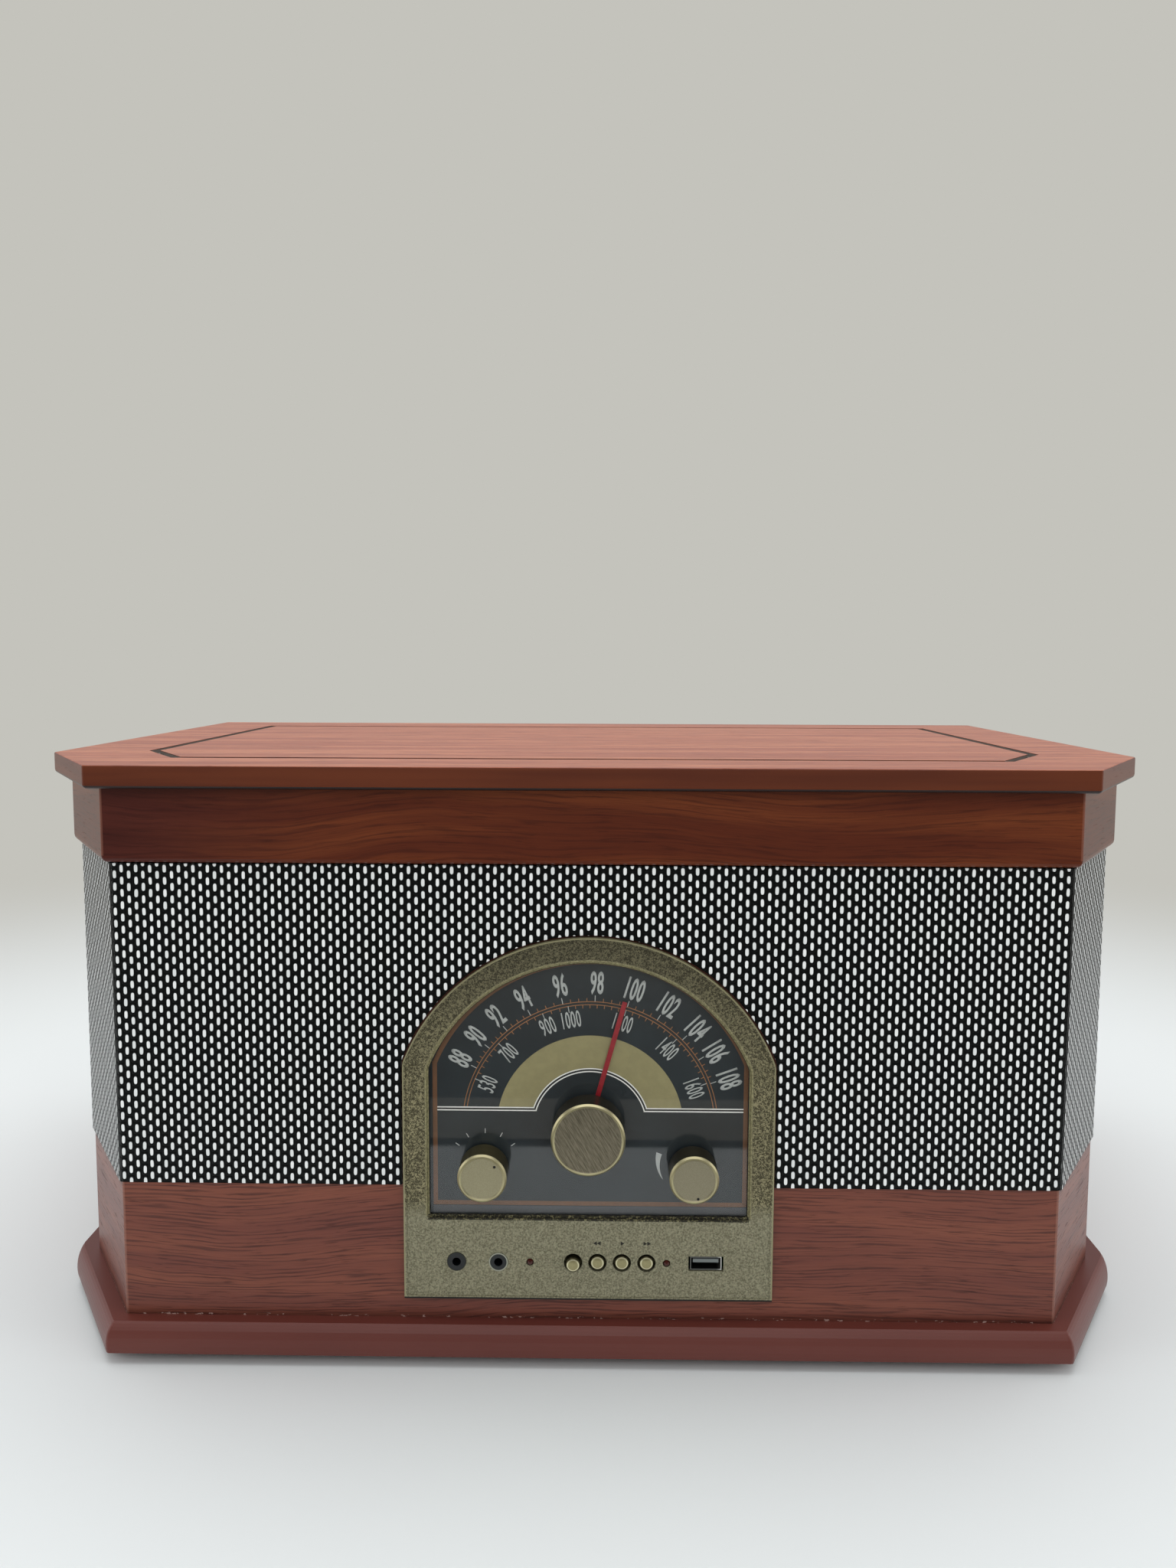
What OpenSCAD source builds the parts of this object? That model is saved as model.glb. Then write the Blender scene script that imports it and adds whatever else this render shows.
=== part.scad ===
// Stereo music centre: a wooden cabinet with canted front corners, a cloth grille, an arched
// radio panel in the middle of the front, and a record player under a hinged lid.
// Millimetres. +X is the listener's right, -Y the front, +Z up. The origin lies on the floor,
// in the middle of the whole object.

/* [Lid] */
// Width of the lid's top board
lid_w = 490; // [470:1:560]
// Depth of the lid's top board
lid_d = 333; // [325:1:400]
// Length of the straight front edge between the two canted corners
front_w = 408; // [390:1:420]
// How far back the canted corners reach
corner_d = 68.7; // [55:0.1:80]
// Thickness of the lid's top board
lid_top_t = 9.6; // [8:0.1:14]
// Height of the frame under the lid's top board
lid_frame_h = 31.2; // [29:0.1:40]
// Wall of the lid's frame
lid_wall = 8; // [6:0.5:9]
// How far the lid's frame stands in from the top board's edge
lid_frame_in = 7; // [5:0.1:9]
// Rounding of the top board's lower edge
lid_round = 2; // [1:0.1:3]
// Rounding of the top board's upper edge
lid_edge = 0.7; // [0.4:0.1:1.5]
// Rounding of the lower edge of the lid's frame
rail_round = 3; // [1:0.1:4]
// Rounding of the upright edges where two boards meet
corner_round = 1.5; // [0.5:0.1:2.5]
// Gap between the closed lid and the cabinet's rim, filled by thin pads
lid_gap = 0.6; // [0.4:0.1:1]
// Distance of the groove in the lid's top from its edge
groove_in = 42; // [30:1:60]
// Width of the groove
groove_w = 4.6; // [3:0.1:7]
// Depth of the groove
groove_deep = 2; // [1:0.1:3]

/* [Cabinet] */
// Height of the cabinet's walls on the base board
wall_h = 195.5; // [194:0.5:220]
// Thickness of the cabinet's boards
wall_t = 9; // [8:0.5:9.5]
// How far the walls stand in from the lid's edge, at the front, corners and sides
wall_in = 11.2; // [10:0.1:12]
// How far all walls stand in from the lid's edge at the back
back_in = 2; // [1:0.5:3]
// Height of the bare wooden band under the grille
band_h = 59; // [55:1:64]
// How deep the grille's frame is let into the boards
grille_let = 1.2; // [1:0.1:2]
// How far the grille stands proud of the wooden band
grille_proud = 1; // [0.6:0.1:1.5]
// Rounding of the cloth round the grille's upright edges
cloth_round = 3; // [2:0.1:4]

/* [Base and feet] */
// Height of the moulded base board
base_h = 12.5; // [11:0.5:18]
// How far the moulding's widest line stands in from the lid's edge at the front and corners
base_in = 1.4; // [0.5:0.1:3]
// How far the moulding's upper edge stands in from the lid's edge at the front and corners
ledge_in = 5.2; // [3.5:0.1:6]
// How far the moulding's widest line stands in from the lid's edge at the sides
base_side_in = 0.3; // [0:0.1:2]
// How far the moulding's upper edge stands in from the lid's edge at the sides
ledge_side_in = 2.2; // [2:0.1:5]
// Rounding of the base board's corners at the front
base_front_r = 2; // [1:0.5:5]
// Rounding of the base board's corners at the sides
base_side_r = 9; // [3:0.5:15]
// Height of the rubber feet
foot_h = 5; // [4:0.5:12]
// Radius of the rubber feet
foot_r = 10; // [8:0.5:12]
// Distance of the front feet from the middle
foot_front_x = 186; // [150:1:190]
// Distance of the rear feet from the middle
foot_rear_x = 212; // [150:1:215]
// Distance of the feet from the front and back edges
foot_in = 20; // [16:1:30]

/* [Radio panel] */
// Width of the arched panel
panel_w = 155.6; // [153:0.1:158]
// Height of the panel's lower edge above the base board
panel_up = 9.8; // [8:0.1:12]
// Height of the arch's centre above the panel's lower edge
arch_up = 72.7; // [72:0.1:75]
// Radius of the arch
arch_r = 83.2; // [82:0.1:84]
// Rounding where the arch meets the panel's sides
shoulder_r = 10; // [9:0.5:14]
// Rounding where the arch meets the window's sides
window_r = 10; // [8:0.5:12]
// Width of the raised border from the arch's edge to the window
border_w = 11; // [10:0.1:11.5]
// Height of the plain strip under the window
strip_h = 36.4; // [35:0.1:37]
// How far the panel's face stands out from the wooden band
panel_proud = 2.4; // [2:0.1:3]
// Thickness of the window
lens_t = 1.5; // [1.2:0.1:1.8]
// Width by which the window is held behind its border
lens_grip = 2.5; // [2:0.1:2.8]
// How far the window's face lies behind the panel's face
lens_sunk = 1.8; // [1.4:0.1:1.9]
// Space between the window and the printed dial
dial_space = 2.1; // [2:0.1:3]
// Thickness of the printed dial
dial_t = 1; // [0.6:0.1:1.5]
// Length of the pointer from the tuning axis
pointer_len = 56; // [40:1:60]
// Width of the pointer
pointer_w = 2; // [1:0.1:3]
// Clockwise angle of the pointer from upright
pointer_angle = 15.5; // [-60:0.5:65]

/* [Knobs and buttons] */
// Height of the tuning axis above the arch's centre
tuning_up = 1.3; // [0:0.1:4]
// Radius of the tuning knob
tuning_r = 15.3; // [13:0.1:17]
// Length of the tuning knob
tuning_len = 12.4; // [10:0.1:18]
// Distance of the two small knobs from the middle
small_x = 43.7; // [40:0.1:48]
// Height of the small knobs below the tuning axis
small_down = 16.8; // [14:0.1:18]
// Radius of the small knobs
small_r = 10.2; // [8:0.1:11]
// Length of the small knobs
small_len = 12; // [9:0.1:14]
// Gap between the knobs and the window
knob_gap = 1; // [0.5:0.1:1.5]
// Radius of the control shafts
shaft_r = 3; // [2.5:0.1:3.2]
// Clockwise angle of the selector's dot from upright
selector_angle = 46; // [-54:1:54]
// Clockwise angle of the volume knob's dot from upright
volume_angle = 168; // [-132:1:168]
// Height of the row of sockets and buttons above the panel's lower edge
row_up = 16.3; // [15:0.1:17]
// Radius of the push buttons
button_r = 3.1; // [2.5:0.1:3.4]
// Radius of the holes round the push buttons
button_hole_r = 3.9; // [3.6:0.1:4.2]
// Height of the dome on a push button
button_dome = 0.8; // [0.3:0.1:1.2]
// How far the playback buttons stand out from the panel
button_out = 0.6; // [0.3:0.1:1]
// How far the latching button stands out from the panel
latch_out = 2.8; // [2.5:0.1:4]
// Travel of the playback buttons
button_travel = 1; // [0.5:0.1:1.2]
// Travel of the latching button
latch_travel = 2.4; // [1.5:0.1:2.4]

/* [Sockets] */
// Radius of the collar round each audio jack
jack_collar_r = 4; // [3.6:0.1:4.3]
// Radius of the audio jacks' bores
jack_bore_r = 1.8; // [1.78:0.01:1.85]
// Width of the socket for a memory stick
usb_w = 13.2; // [13:0.1:13.6]
// Height of the socket for a memory stick
usb_h = 5.7; // [5.6:0.1:6]
// Radius of the indicator lamps
led_r = 1.5; // [1.3:0.1:1.6]
// Radius of the rear line sockets' barrels
line_r = 4.15; // [4.1:0.01:4.2]
// Length of the rear line sockets' barrels
line_len = 9; // [8:0.5:10]
// Distance between the two rear line sockets
line_pitch = 14; // [13:0.5:19]
// Distance of the rear line sockets from the side of the lid
line_in = 95; // [70:1:120]
// Distance of the mains inlet from the side of the lid
inlet_in = 95; // [70:1:120]

/* [Speakers] */
// Radius of the speakers' frames
speaker_r = 51; // [46:0.5:52]
// Radius of the holes in front of the speakers
speaker_hole_r = 45; // [40:0.5:46]
// Depth of the speakers
speaker_deep = 40; // [34:1:50]
// Radius of the speakers' magnets
magnet_r = 27; // [22:0.5:30]
// Gap between the speakers' frames and the deck above them
speaker_gap = 3.5; // [1:0.5:8]
// Distance of the speakers' centres from the middle
speaker_x = 134; // [132:0.5:136]

/* [Turntable] */
// Depth of the deck below the cabinet's rim
deck_down = 13; // [11:0.5:16]
// Thickness of the deck
deck_t = 4; // [3:0.5:6]
// Distance of the spindle from the middle, to the left
spindle_left = 55; // [50:1:60]
// Radius of the spindle above the mat
spindle_r = 3.55; // [3.5:0.01:3.57]
// Height of the spindle's straight part above the mat
spindle_up = 10; // [8:0.5:11]
// Radius of the platter
platter_r = 98; // [96:0.5:105]
// Height of the platter
platter_h = 11; // [10:0.5:13]
// Thickness of the platter's top and walls
platter_wall = 3; // [2:0.1:4]
// Distance of the drive ring under the platter from the platter's edge
ring_in = 23; // [21.5:0.5:28]
// Thickness of the mat
mat_t = 3; // [2:0.1:4]
// Radius of the motor's pulley
pulley_r = 5.5; // [4:0.1:6]
// Gap between the pulley's flanges and the wall round the platter's edge
pulley_gap = 4.1; // [3:0.1:5]
// Direction of the motor from the spindle, counterclockwise from +X
motor_angle = 215; // [200:1:240]
// Radius of the motor
motor_r = 17; // [12:0.5:20]
// Thickness of the belt
belt_t = 0.6; // [0.4:0.1:0.8]
// Width of the belt
belt_w = 4; // [3:0.1:4.5]

/* [Tonearm] */
// Distance from the arm's pivot to the spindle
pivot_off = 190; // [180:1:195]
// Direction of the arm's pivot from the spindle, counterclockwise from +X
pivot_angle = 24; // [20:1:28]
// Length from the arm's pivot to the stylus
arm_len = 205; // [198:1:208]
// Height of the arm's pivot above the mat
arm_up = 10.5; // [9.5:0.1:11.5]
// Radius of the arm's tube
arm_r = 3.5; // [3:0.1:4]
// Angle of the headshell to the tube
head_angle = 22; // [18:1:25]
// Radius of the counterweight
weight_r = 12; // [9:0.5:12.5]
// Length of the counterweight
weight_len = 18; // [12:1:22]
// Distance of the arm rest from the pivot
rest_off = 115; // [90:1:130]

/* [Hinges] */
// Distance of each hinge from the middle
hinge_x = 150; // [100:1:180]
// Length of a hinge
hinge_len = 60; // [40:1:80]
// Height of a hinge's leaf from the pin
leaf_h = 20; // [16:1:24]
// Thickness of a leaf
leaf_t = 1.2; // [1:0.1:1.6]
// Outer radius of the knuckles
knuckle_r = 2.6; // [2.4:0.1:3.2]
// Radius of the hinge pins
hinge_pin_r = 1.3; // [1:0.1:1.4]

/* [Fits] */
// Clearance round things that are dropped into a hole
slack = 0.3; // [0.2:0.05:0.4]
// Clearance of a shaft that turns in its bearing
running = 0.05; // [0.02:0.01:0.09]

/* [Hidden] */
fine = 96;
small = 40;

// Levels, from the floor up
base_z = foot_h;
floor_z = base_z + base_h;
band_z = floor_z + band_h;
rim_z = floor_z + wall_h;
lid_z = rim_z + lid_gap;
top_z = lid_z + lid_frame_h;
lid_h = top_z + lid_top_t;
deck_z = rim_z - deck_down;

// Distances behind the lid's front edge
band_y = wall_in;
grille_y = wall_in - grille_proud;
upper_y = wall_in + grille_let;
inner_y = wall_in + wall_t;
face_y = band_y - panel_proud;
lens_y = face_y + lens_sunk;
dial_y = lens_y + lens_t + dial_space;
chassis_y = dial_y + dial_t;
chassis_t = 2;
mount_y = chassis_y + chassis_t;
board_y = 22;
back_y = lid_d - back_in;
pin_y = back_y + knuckle_r + slack / 2;
plate_t = 1.5;
front_reach = tuning_len - (lens_y - knob_gap);
rear_reach = back_y + plate_t + line_len;
front_y = (front_reach - rear_reach) / 2;

// Heights on the radio panel
panel_z = floor_z + panel_up;
arch_z = panel_z + arch_up;
window_z = panel_z + strip_h;
window_w = panel_w - 2 * border_w;
tuning_z = arch_z + tuning_up;
small_z = tuning_z - small_down;
row_z = panel_z + row_up;
speaker_z = deck_z - deck_t - speaker_gap - speaker_r;

// Places along the row of sockets and buttons
phones_x = -55.6;
aux_x = -37.9;
power_lamp_x = -24.5;
latch_x = -6.3;
previous_x = 4;
play_x = 14.3;
next_x = 24.7;
usb_lamp_x = 33.2;
usb_x = 49.8;

// Places on the back
line_x = lid_w / 2 - line_in;
inlet_x = lid_w / 2 - inlet_in;

// The record player
flange_r = pulley_r + 0.9;
ring_r = platter_r - ring_in;
motor_off = platter_r - platter_wall - pulley_gap - flange_r;
spindle_at = [-spindle_left, front_y + lid_d / 2 + 2.5];
motor_at = spindle_at + motor_off * [cos(motor_angle), sin(motor_angle)];
pivot_at = spindle_at + pivot_off * [cos(pivot_angle), sin(pivot_angle)];
well_deep = 1.5;
collar_h = 3;
platter_z = deck_z - well_deep + collar_h;
mat_z = platter_z + platter_h;
record_z = mat_z + mat_t;
arm_z = record_z + arm_up;
head_z = arm_z - 1.5;

// Corner points of the plan, counterclockwise from the front left: drawn in by o at the front
// and corners, by ob at the back, and by os at the sides
corner_in = (lid_w - front_w) / 2;
corner_len = norm([corner_in, corner_d]);
function plan(o, ob, side = undef) =
  let (os = is_undef(side) ? o : side,
       fx = front_w / 2 - o * (corner_len - corner_in) / corner_d,
       sx = lid_w / 2 - os,
       sy = corner_d + (o * corner_len - os * corner_d) / corner_in)
  [[-fx, front_y + o], [fx, front_y + o], [sx, front_y + sy],
   [sx, front_y + lid_d - ob], [-sx, front_y + lid_d - ob], [-sx, front_y + sy]];

// The plan's edges face these ways, and each corner between two of them is an arc
cant_a = acos(corner_in / corner_len);
facing = [-90, cant_a - 90, 0, 90, 180, 270 - cant_a];
bend_steps = 4;
bend_middle = bend_steps / 2;
function way(a) = [cos(a), sin(a)];
function bend(points, i, r) =
  let (a0 = facing[(i + 5) % 6] - (i == 0 ? 360 : 0),
       a1 = facing[i],
       c = points[i] - r * (way(a0) + way(a1)) / (1 + cos(a1 - a0)))
  [for (k = [0 : bend_steps]) c + r * way(a0 + (a1 - a0) * k / bend_steps)];
function ring(points, radii) = [for (i = [0 : 5]) each bend(points, i, radii[i])];

// The outside of one board between the middles of the arcs at corners i and j
function outside(points, i, j, ri, rj) =
  let (first = bend(points, i, ri), last = bend(points, j, rj))
  [for (k = [bend_middle : bend_steps]) first[k], for (k = [0 : bend_middle]) last[k]];

// A solid through rings of points that lie above each other
module loft(rings) {
  n = len(rings[0]);
  last = len(rings) - 1;
  polyhedron(
    points = [for (ring = rings) each ring],
    faces = concat(
      [[for (i = [0 : n - 1]) i]],
      [for (k = [0 : last - 1], i = [0 : n - 1])
        [k * n + i, (k + 1) * n + i, (k + 1) * n + (i + 1) % n, k * n + (i + 1) % n]],
      [[for (i = [n - 1 : -1 : 0]) last * n + i]]));
}

function at_z(points, z) = [for (p = points) [p[0], p[1], z]];
function backward(points) = [for (k = [len(points) - 1 : -1 : 0]) points[k]];

// One mitred board between corners i and j of the plan
sharp = 0.2;
module board(i, j, outer, inner, z, h, ri = corner_round, rj = corner_round) {
  translate([0, 0, z])
    linear_extrude(h)
      polygon(concat(outside(outer, i, j, ri, rj), [inner[j], inner[i]]));
}

// An arched shape in X and Z: straight sides and foot, a round top and rounded shoulders
module arch_shape(w, foot, cz, r, f) {
  sx = w - f;
  sz = cz + sqrt(pow(r - f, 2) - pow(sx, 2));
  polygon([[-w, foot], [w, foot], [w, sz], [sx, sz], [0, cz + r / 2], [-sx, sz], [-w, sz]]);
  intersection() {
    translate([0, cz]) circle(r = r, $fn = fine);
    polygon([[0, cz], [2 * sx, 2 * sz - cz], [0, cz + 2 * r], [-2 * sx, 2 * sz - cz]]);
  }
  for (side = [-1, 1])
    translate([side * sx, sz]) circle(r = f, $fn = small);
}

module panel_shape(i) {
  arch_shape(panel_w / 2 - i, panel_z + i, arch_z, arch_r - i, shoulder_r - i);
}

module window_shape(i) {
  arch_shape(window_w / 2 - i, window_z + i, arch_z, arch_r - border_w - i, window_r - i);
}

// An upright outline in X and Z, made solid from y to y + t behind the lid's front edge
module upright(y, t) {
  translate([0, front_y + y + t, 0])
    rotate([90, 0, 0])
      linear_extrude(t)
        children();
}

// A profile of radius and depth, turned round an axis that runs back from the front edge
module turned(x, z, sides = fine) {
  translate([x, front_y, z])
    rotate([-90, 0, 0])
      rotate_extrude($fn = sides)
        children();
}

module rod(x, z, y, t, r, sides = small) {
  translate([x, front_y + y, z])
    rotate([-90, 0, 0])
      cylinder(h = t, r = r, $fn = sides);
}

function mirrored(x) = [-x, x];

// Base board with a moulded edge, which bulges and draws in to the ledge under the walls
foot_places = concat(
  [for (x = mirrored(foot_front_x)) [x, front_y + foot_in]],
  [for (x = mirrored(foot_rear_x)) [x, front_y + lid_d - foot_in]]);
foot_screw_r = 1.5;
foot_screw_len = 9;
mould_start = -18;
mould_end = 68;
mould_turns = 9;
base_radii = [base_front_r, base_front_r, base_side_r, corner_round, corner_round, base_side_r];

module base_board() {
  rise = base_h / (sin(mould_end) - sin(mould_start));
  color([0.34, 0.15, 0.13])
    difference() {
      loft([for (k = [0 : mould_turns])
        let (a = mould_start + (mould_end - mould_start) * k / mould_turns,
             share = (1 - cos(a)) / (1 - cos(mould_end)))
        at_z(ring(plan(base_in + (ledge_in - base_in) * share, back_in,
                       base_side_in + (ledge_side_in - base_side_in) * share), base_radii),
             base_z + rise * (sin(a) - sin(mould_start)))]);
      for (p = foot_places)
        translate([p[0], p[1], base_z - 1])
          cylinder(h = foot_screw_len, r = foot_screw_r + running, $fn = small);
    }
}

module rubber_feet() {
  color([0.06, 0.06, 0.06])
    for (p = foot_places)
      translate([p[0], p[1], 0])
        rotate_extrude($fn = fine)
          polygon([[3.6, 0], [foot_r - 1.5, 0], [foot_r - 0.6, 0.6], [foot_r, foot_h - 1],
                   [foot_r, foot_h], [foot_screw_r + slack, foot_h],
                   [foot_screw_r + slack, foot_h - 1.6], [3.6, foot_h - 1.6]]);
}

// The front board carries both speakers and the radio panel
cut_in = 5.8;
module front_baffle() {
  outer = plan(wall_in, back_in);
  upper = plan(upper_y, back_in);
  inner = plan(inner_y, back_in + wall_t);
  color([0.42, 0.22, 0.16])
    difference() {
      union() {
        board(0, 1, outer, inner, floor_z, band_h);
        board(0, 1, upper, inner, band_z, rim_z - band_z);
      }
      upright(band_y - 1, wall_t + 2) panel_shape(cut_in);
      for (x = mirrored(speaker_x))
        rod(x, speaker_z, band_y - 1, wall_t + 2, speaker_hole_r, fine);
    }
}

module corner_panels() {
  outer = plan(wall_in, back_in);
  upper = plan(upper_y, back_in);
  inner = plan(inner_y, back_in + wall_t);
  color([0.42, 0.22, 0.16])
    for (pair = [[1, 2, corner_round, sharp], [5, 0, sharp, corner_round]]) {
      board(pair[0], pair[1], outer, inner, floor_z, band_h);
      board(pair[0], pair[1], upper, inner, band_z, rim_z - band_z, pair[2], pair[3]);
    }
}

module side_panels() {
  outer = plan(wall_in, back_in);
  inner = plan(inner_y, back_in + wall_t);
  color([0.42, 0.22, 0.16])
    for (pair = [[2, 3], [4, 5]])
      board(pair[0], pair[1], outer, inner, floor_z, wall_h);
}

// The back board has two groups of vents, and cut-outs for the inlet and the line sockets
vent_count = 6;
vent_w = 4;
vent_h = 46;
vent_pitch = 11;
vent_up = 100;
back_row_up = 34;
back_row_z = floor_z + back_row_up;
inlet_w = 22;
inlet_h = 13;
inlet_deep = 14;
leaf_screw_drop = 13;

module back_panel() {
  outer = plan(wall_in, back_in);
  inner = plan(inner_y, back_in + wall_t);
  color([0.42, 0.22, 0.16])
    difference() {
      board(3, 4, outer, inner, floor_z, wall_h);
      for (side = [-1, 1], k = [0 : vent_count - 1])
        upright(back_y - wall_t - 1, wall_t + 2)
          translate([side * 60 + (k - (vent_count - 1) / 2) * vent_pitch - vent_w / 2,
                     floor_z + vent_up])
            square([vent_w, vent_h]);
      upright(back_y - wall_t - 1, wall_t + 2)
        translate([inlet_x - inlet_w / 2 - slack, back_row_z - inlet_h / 2 - slack])
          square([inlet_w + 2 * slack, inlet_h + 2 * slack]);
      upright(back_y - wall_t - 1, wall_t + 2)
        translate([-line_x - line_pitch / 2 - 6, back_row_z - 6])
          square([line_pitch + 12, 12]);
      for (x = mirrored(hinge_x), s = [-1, 1])
        rod(x + s * hinge_len / 3, pin_z - leaf_screw_drop, back_y - leaf_screw_len + 0.5,
            leaf_screw_len, leaf_screw_r + running);
    }
}

// Cloth stretched over a thin frame, round the front and both canted corners
grille_gap = 0.8;
module speaker_grille() {
  outer = plan(grille_y, back_in);
  inner = plan(upper_y, back_in);
  color([0.12, 0.12, 0.12])
    difference() {
      translate([0, 0, band_z])
        linear_extrude(rim_z - band_z)
          polygon(concat(
            [outer[5]], bend(outer, 0, cloth_round), bend(outer, 1, cloth_round), [outer[2]],
            [inner[2]], backward(bend(inner, 1, corner_round - slack)),
            backward(bend(inner, 0, corner_round - slack)), [inner[5]]));
      upright(grille_y - 1, upper_y - grille_y + 2) panel_shape(-grille_gap);
    }
}

// The deck drops in on its cleats, below the rim
slot_w = 3;
slider_stem = 6;
slider_in = 52.8;
slider_x = lid_w / 2 - inner_y - slider_in;
speed_y = 112;
speed_travel = 16;
stop_y = 176;
stop_travel = 6;
deck_screw_r = 1.6;
deck_screw_in = 40;
screw_places = [for (x = mirrored(lid_w / 2 - inner_y - 6),
                     y = [corner_d + deck_screw_in, lid_d - deck_screw_in])
                 [x, front_y + y]];
pulley_hole_r = 9;
bearing_r = 6;
arm_hole_r = 8;

module slot(x, y, travel) {
  translate([x - slot_w / 2, front_y + y - slider_stem / 2 - slack, deck_z - deck_t - 1])
    cube([slot_w, travel + slider_stem + 2 * slack, deck_t + 2]);
}

module deck_plate() {
  edge = plan(inner_y + slack, back_in + wall_t + slack);
  color([0.16, 0.14, 0.13])
    difference() {
      translate([0, 0, deck_z - deck_t])
        linear_extrude(deck_t)
          polygon(edge);
      translate([spindle_at[0], spindle_at[1], deck_z - well_deep])
        cylinder(h = well_deep + 1, r = platter_r + 4, $fn = fine);
      translate([spindle_at[0], spindle_at[1], deck_z - deck_t - 1])
        cylinder(h = deck_t + 2, r = bearing_r + running, $fn = small);
      translate([motor_at[0], motor_at[1], deck_z - deck_t - 1])
        cylinder(h = deck_t + 2, r = pulley_hole_r, $fn = small);
      translate([pivot_at[0], pivot_at[1], deck_z - deck_t - 1])
        cylinder(h = deck_t + 2, r = arm_hole_r + slack, $fn = small);
      slot(slider_x, speed_y, speed_travel);
      slot(slider_x, stop_y, stop_travel);
      for (p = screw_places)
        translate([p[0], p[1], deck_z - deck_t - 1])
          cylinder(h = deck_t + 2, r = deck_screw_r + running, $fn = small);
    }
}

cleat = 12;
module deck_cleats() {
  cleat_z = deck_z - deck_t - cleat;
  color([0.68, 0.52, 0.34])
    difference() {
      union() {
        for (side = [-1, 1])
          translate([side > 0 ? lid_w / 2 - inner_y - cleat : inner_y - lid_w / 2,
                     front_y + corner_d + 25, cleat_z])
            cube([cleat, lid_d - corner_d - 60, cleat]);
        translate([-70, front_y + inner_y, cleat_z])
          cube([140, cleat, cleat]);
        translate([-120, front_y + back_y - wall_t - cleat, cleat_z])
          cube([240, cleat, cleat]);
      }
      for (p = screw_places)
        translate([p[0], p[1], deck_z - deck_screw_len - 1])
          cylinder(h = deck_screw_len, r = deck_screw_r + running, $fn = small);
    }
}

// Moulded front of the radio: an arched border round the window and a strip of controls below
rim_w = 1.2;
rim_up = 0.4;
lip_w = 1;
lip_deep = 1;
spigot_in = 6.3;
spigot_wall = 1.6;
spigot_deep = 13;
usb_slack = 0.8;

module control_bezel() {
  color([0.52, 0.48, 0.36])
    difference() {
      union() {
        upright(face_y, panel_proud) panel_shape(0);
        upright(face_y - rim_up, rim_up)
          difference() {
            panel_shape(0);
            panel_shape(rim_w);
          }
        upright(band_y, spigot_deep)
          difference() {
            panel_shape(spigot_in);
            panel_shape(spigot_in + spigot_wall);
          }
      }
      upright(face_y - 1, lens_sunk + 2) window_shape(0);
      upright(face_y - 1, lip_deep + 1) window_shape(-lip_w);
      upright(lens_y, panel_proud) window_shape(-lens_grip - slack);
      for (x = [phones_x, aux_x])
        rod(x, row_z, face_y - 1, panel_proud + 2, jack_collar_r + 0.1);
      for (x = [power_lamp_x, usb_lamp_x])
        rod(x, row_z, face_y - 1, panel_proud + 2, led_r + 0.1);
      for (x = [latch_x, previous_x, play_x, next_x])
        rod(x, row_z, face_y - 1, panel_proud + 2, button_hole_r);
      upright(face_y - 1, panel_proud + 2)
        translate([usb_x - usb_w / 2 - usb_slack, row_z - usb_h / 2 - usb_slack / 2])
          square([usb_w + 2 * usb_slack, usb_h + usb_slack]);
    }
}

shaft_hole_r = shaft_r + 1;
shaft_places = [[0, tuning_z], [-small_x, small_z], [small_x, small_z]];

module dial_lens() {
  color([0.75, 0.8, 0.82, 0.35])
    difference() {
      upright(lens_y, lens_t) window_shape(-lens_grip);
      for (p = shaft_places)
        rod(p[0], p[1], lens_y - 1, lens_t + 2, shaft_hole_r);
    }
}

dial_edge = 0.9;
module dial_plate() {
  color([0.13, 0.15, 0.16])
    difference() {
      upright(dial_y, dial_t) window_shape(-dial_edge);
      for (p = shaft_places)
        rod(p[0], p[1], dial_y - 1, dial_t + 2, shaft_hole_r);
    }
}

// Tray behind the dial: its rim holds the window in the bezel, and its floor carries the dial
housing_deep = 18;
module dial_housing() {
  rim_y = lens_y + lens_t;
  color([0.1, 0.1, 0.1])
    difference() {
      upright(rim_y, housing_deep) window_shape(-lens_grip);
      upright(rim_y - 1, chassis_y - rim_y + 1) window_shape(-dial_edge - 0.1);
      upright(mount_y, housing_deep) window_shape(-dial_edge - 0.1);
      for (p = shaft_places)
        rod(p[0], p[1], chassis_y - 1, chassis_t + 2, shaft_hole_r);
    }
}

// Two jacks: a round collar in the panel in front of a square body on the board
jack_body = 10;
jack_out = 0.3;
module audio_jacks() {
  color([0.05, 0.05, 0.05])
    for (x = [phones_x, aux_x])
      difference() {
        union() {
          rod(x, row_z, face_y - jack_out, band_y - face_y + jack_out, jack_collar_r);
          upright(band_y, board_y - band_y)
            translate([x - jack_body / 2, row_z - jack_body / 2])
              square(jack_body);
        }
        rod(x, row_z, face_y - 1, board_y - face_y, jack_bore_r);
      }
}

usb_wall = 0.4;
usb_sunk = 0.6;
module usb_socket() {
  tongue_w = usb_w - 2.4;
  color([0.72, 0.72, 0.74])
    difference() {
      upright(face_y + usb_sunk, board_y - face_y - usb_sunk)
        translate([usb_x - usb_w / 2, row_z - usb_h / 2])
          square([usb_w, usb_h]);
      upright(face_y, board_y - face_y - 2)
        translate([usb_x - usb_w / 2 + usb_wall, row_z - usb_h / 2 + usb_wall])
          square([usb_w - 2 * usb_wall, usb_h - 2 * usb_wall]);
    }
  color([0.92, 0.92, 0.9])
    upright(face_y + 1.6, board_y - face_y - 3.6)
      translate([usb_x - tongue_w / 2, row_z - 0.1])
        square([tongue_w, 1.9]);
}

module indicator_lamps() {
  color([0.5, 0.08, 0.06])
    for (x = [power_lamp_x, usb_lamp_x])
      turned(x, row_z, small)
        polygon([[0, face_y - 0.5], [led_r * 0.7, face_y - 0.1], [led_r, face_y + 0.8],
                 [led_r, board_y], [0, board_y]]);
}

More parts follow.
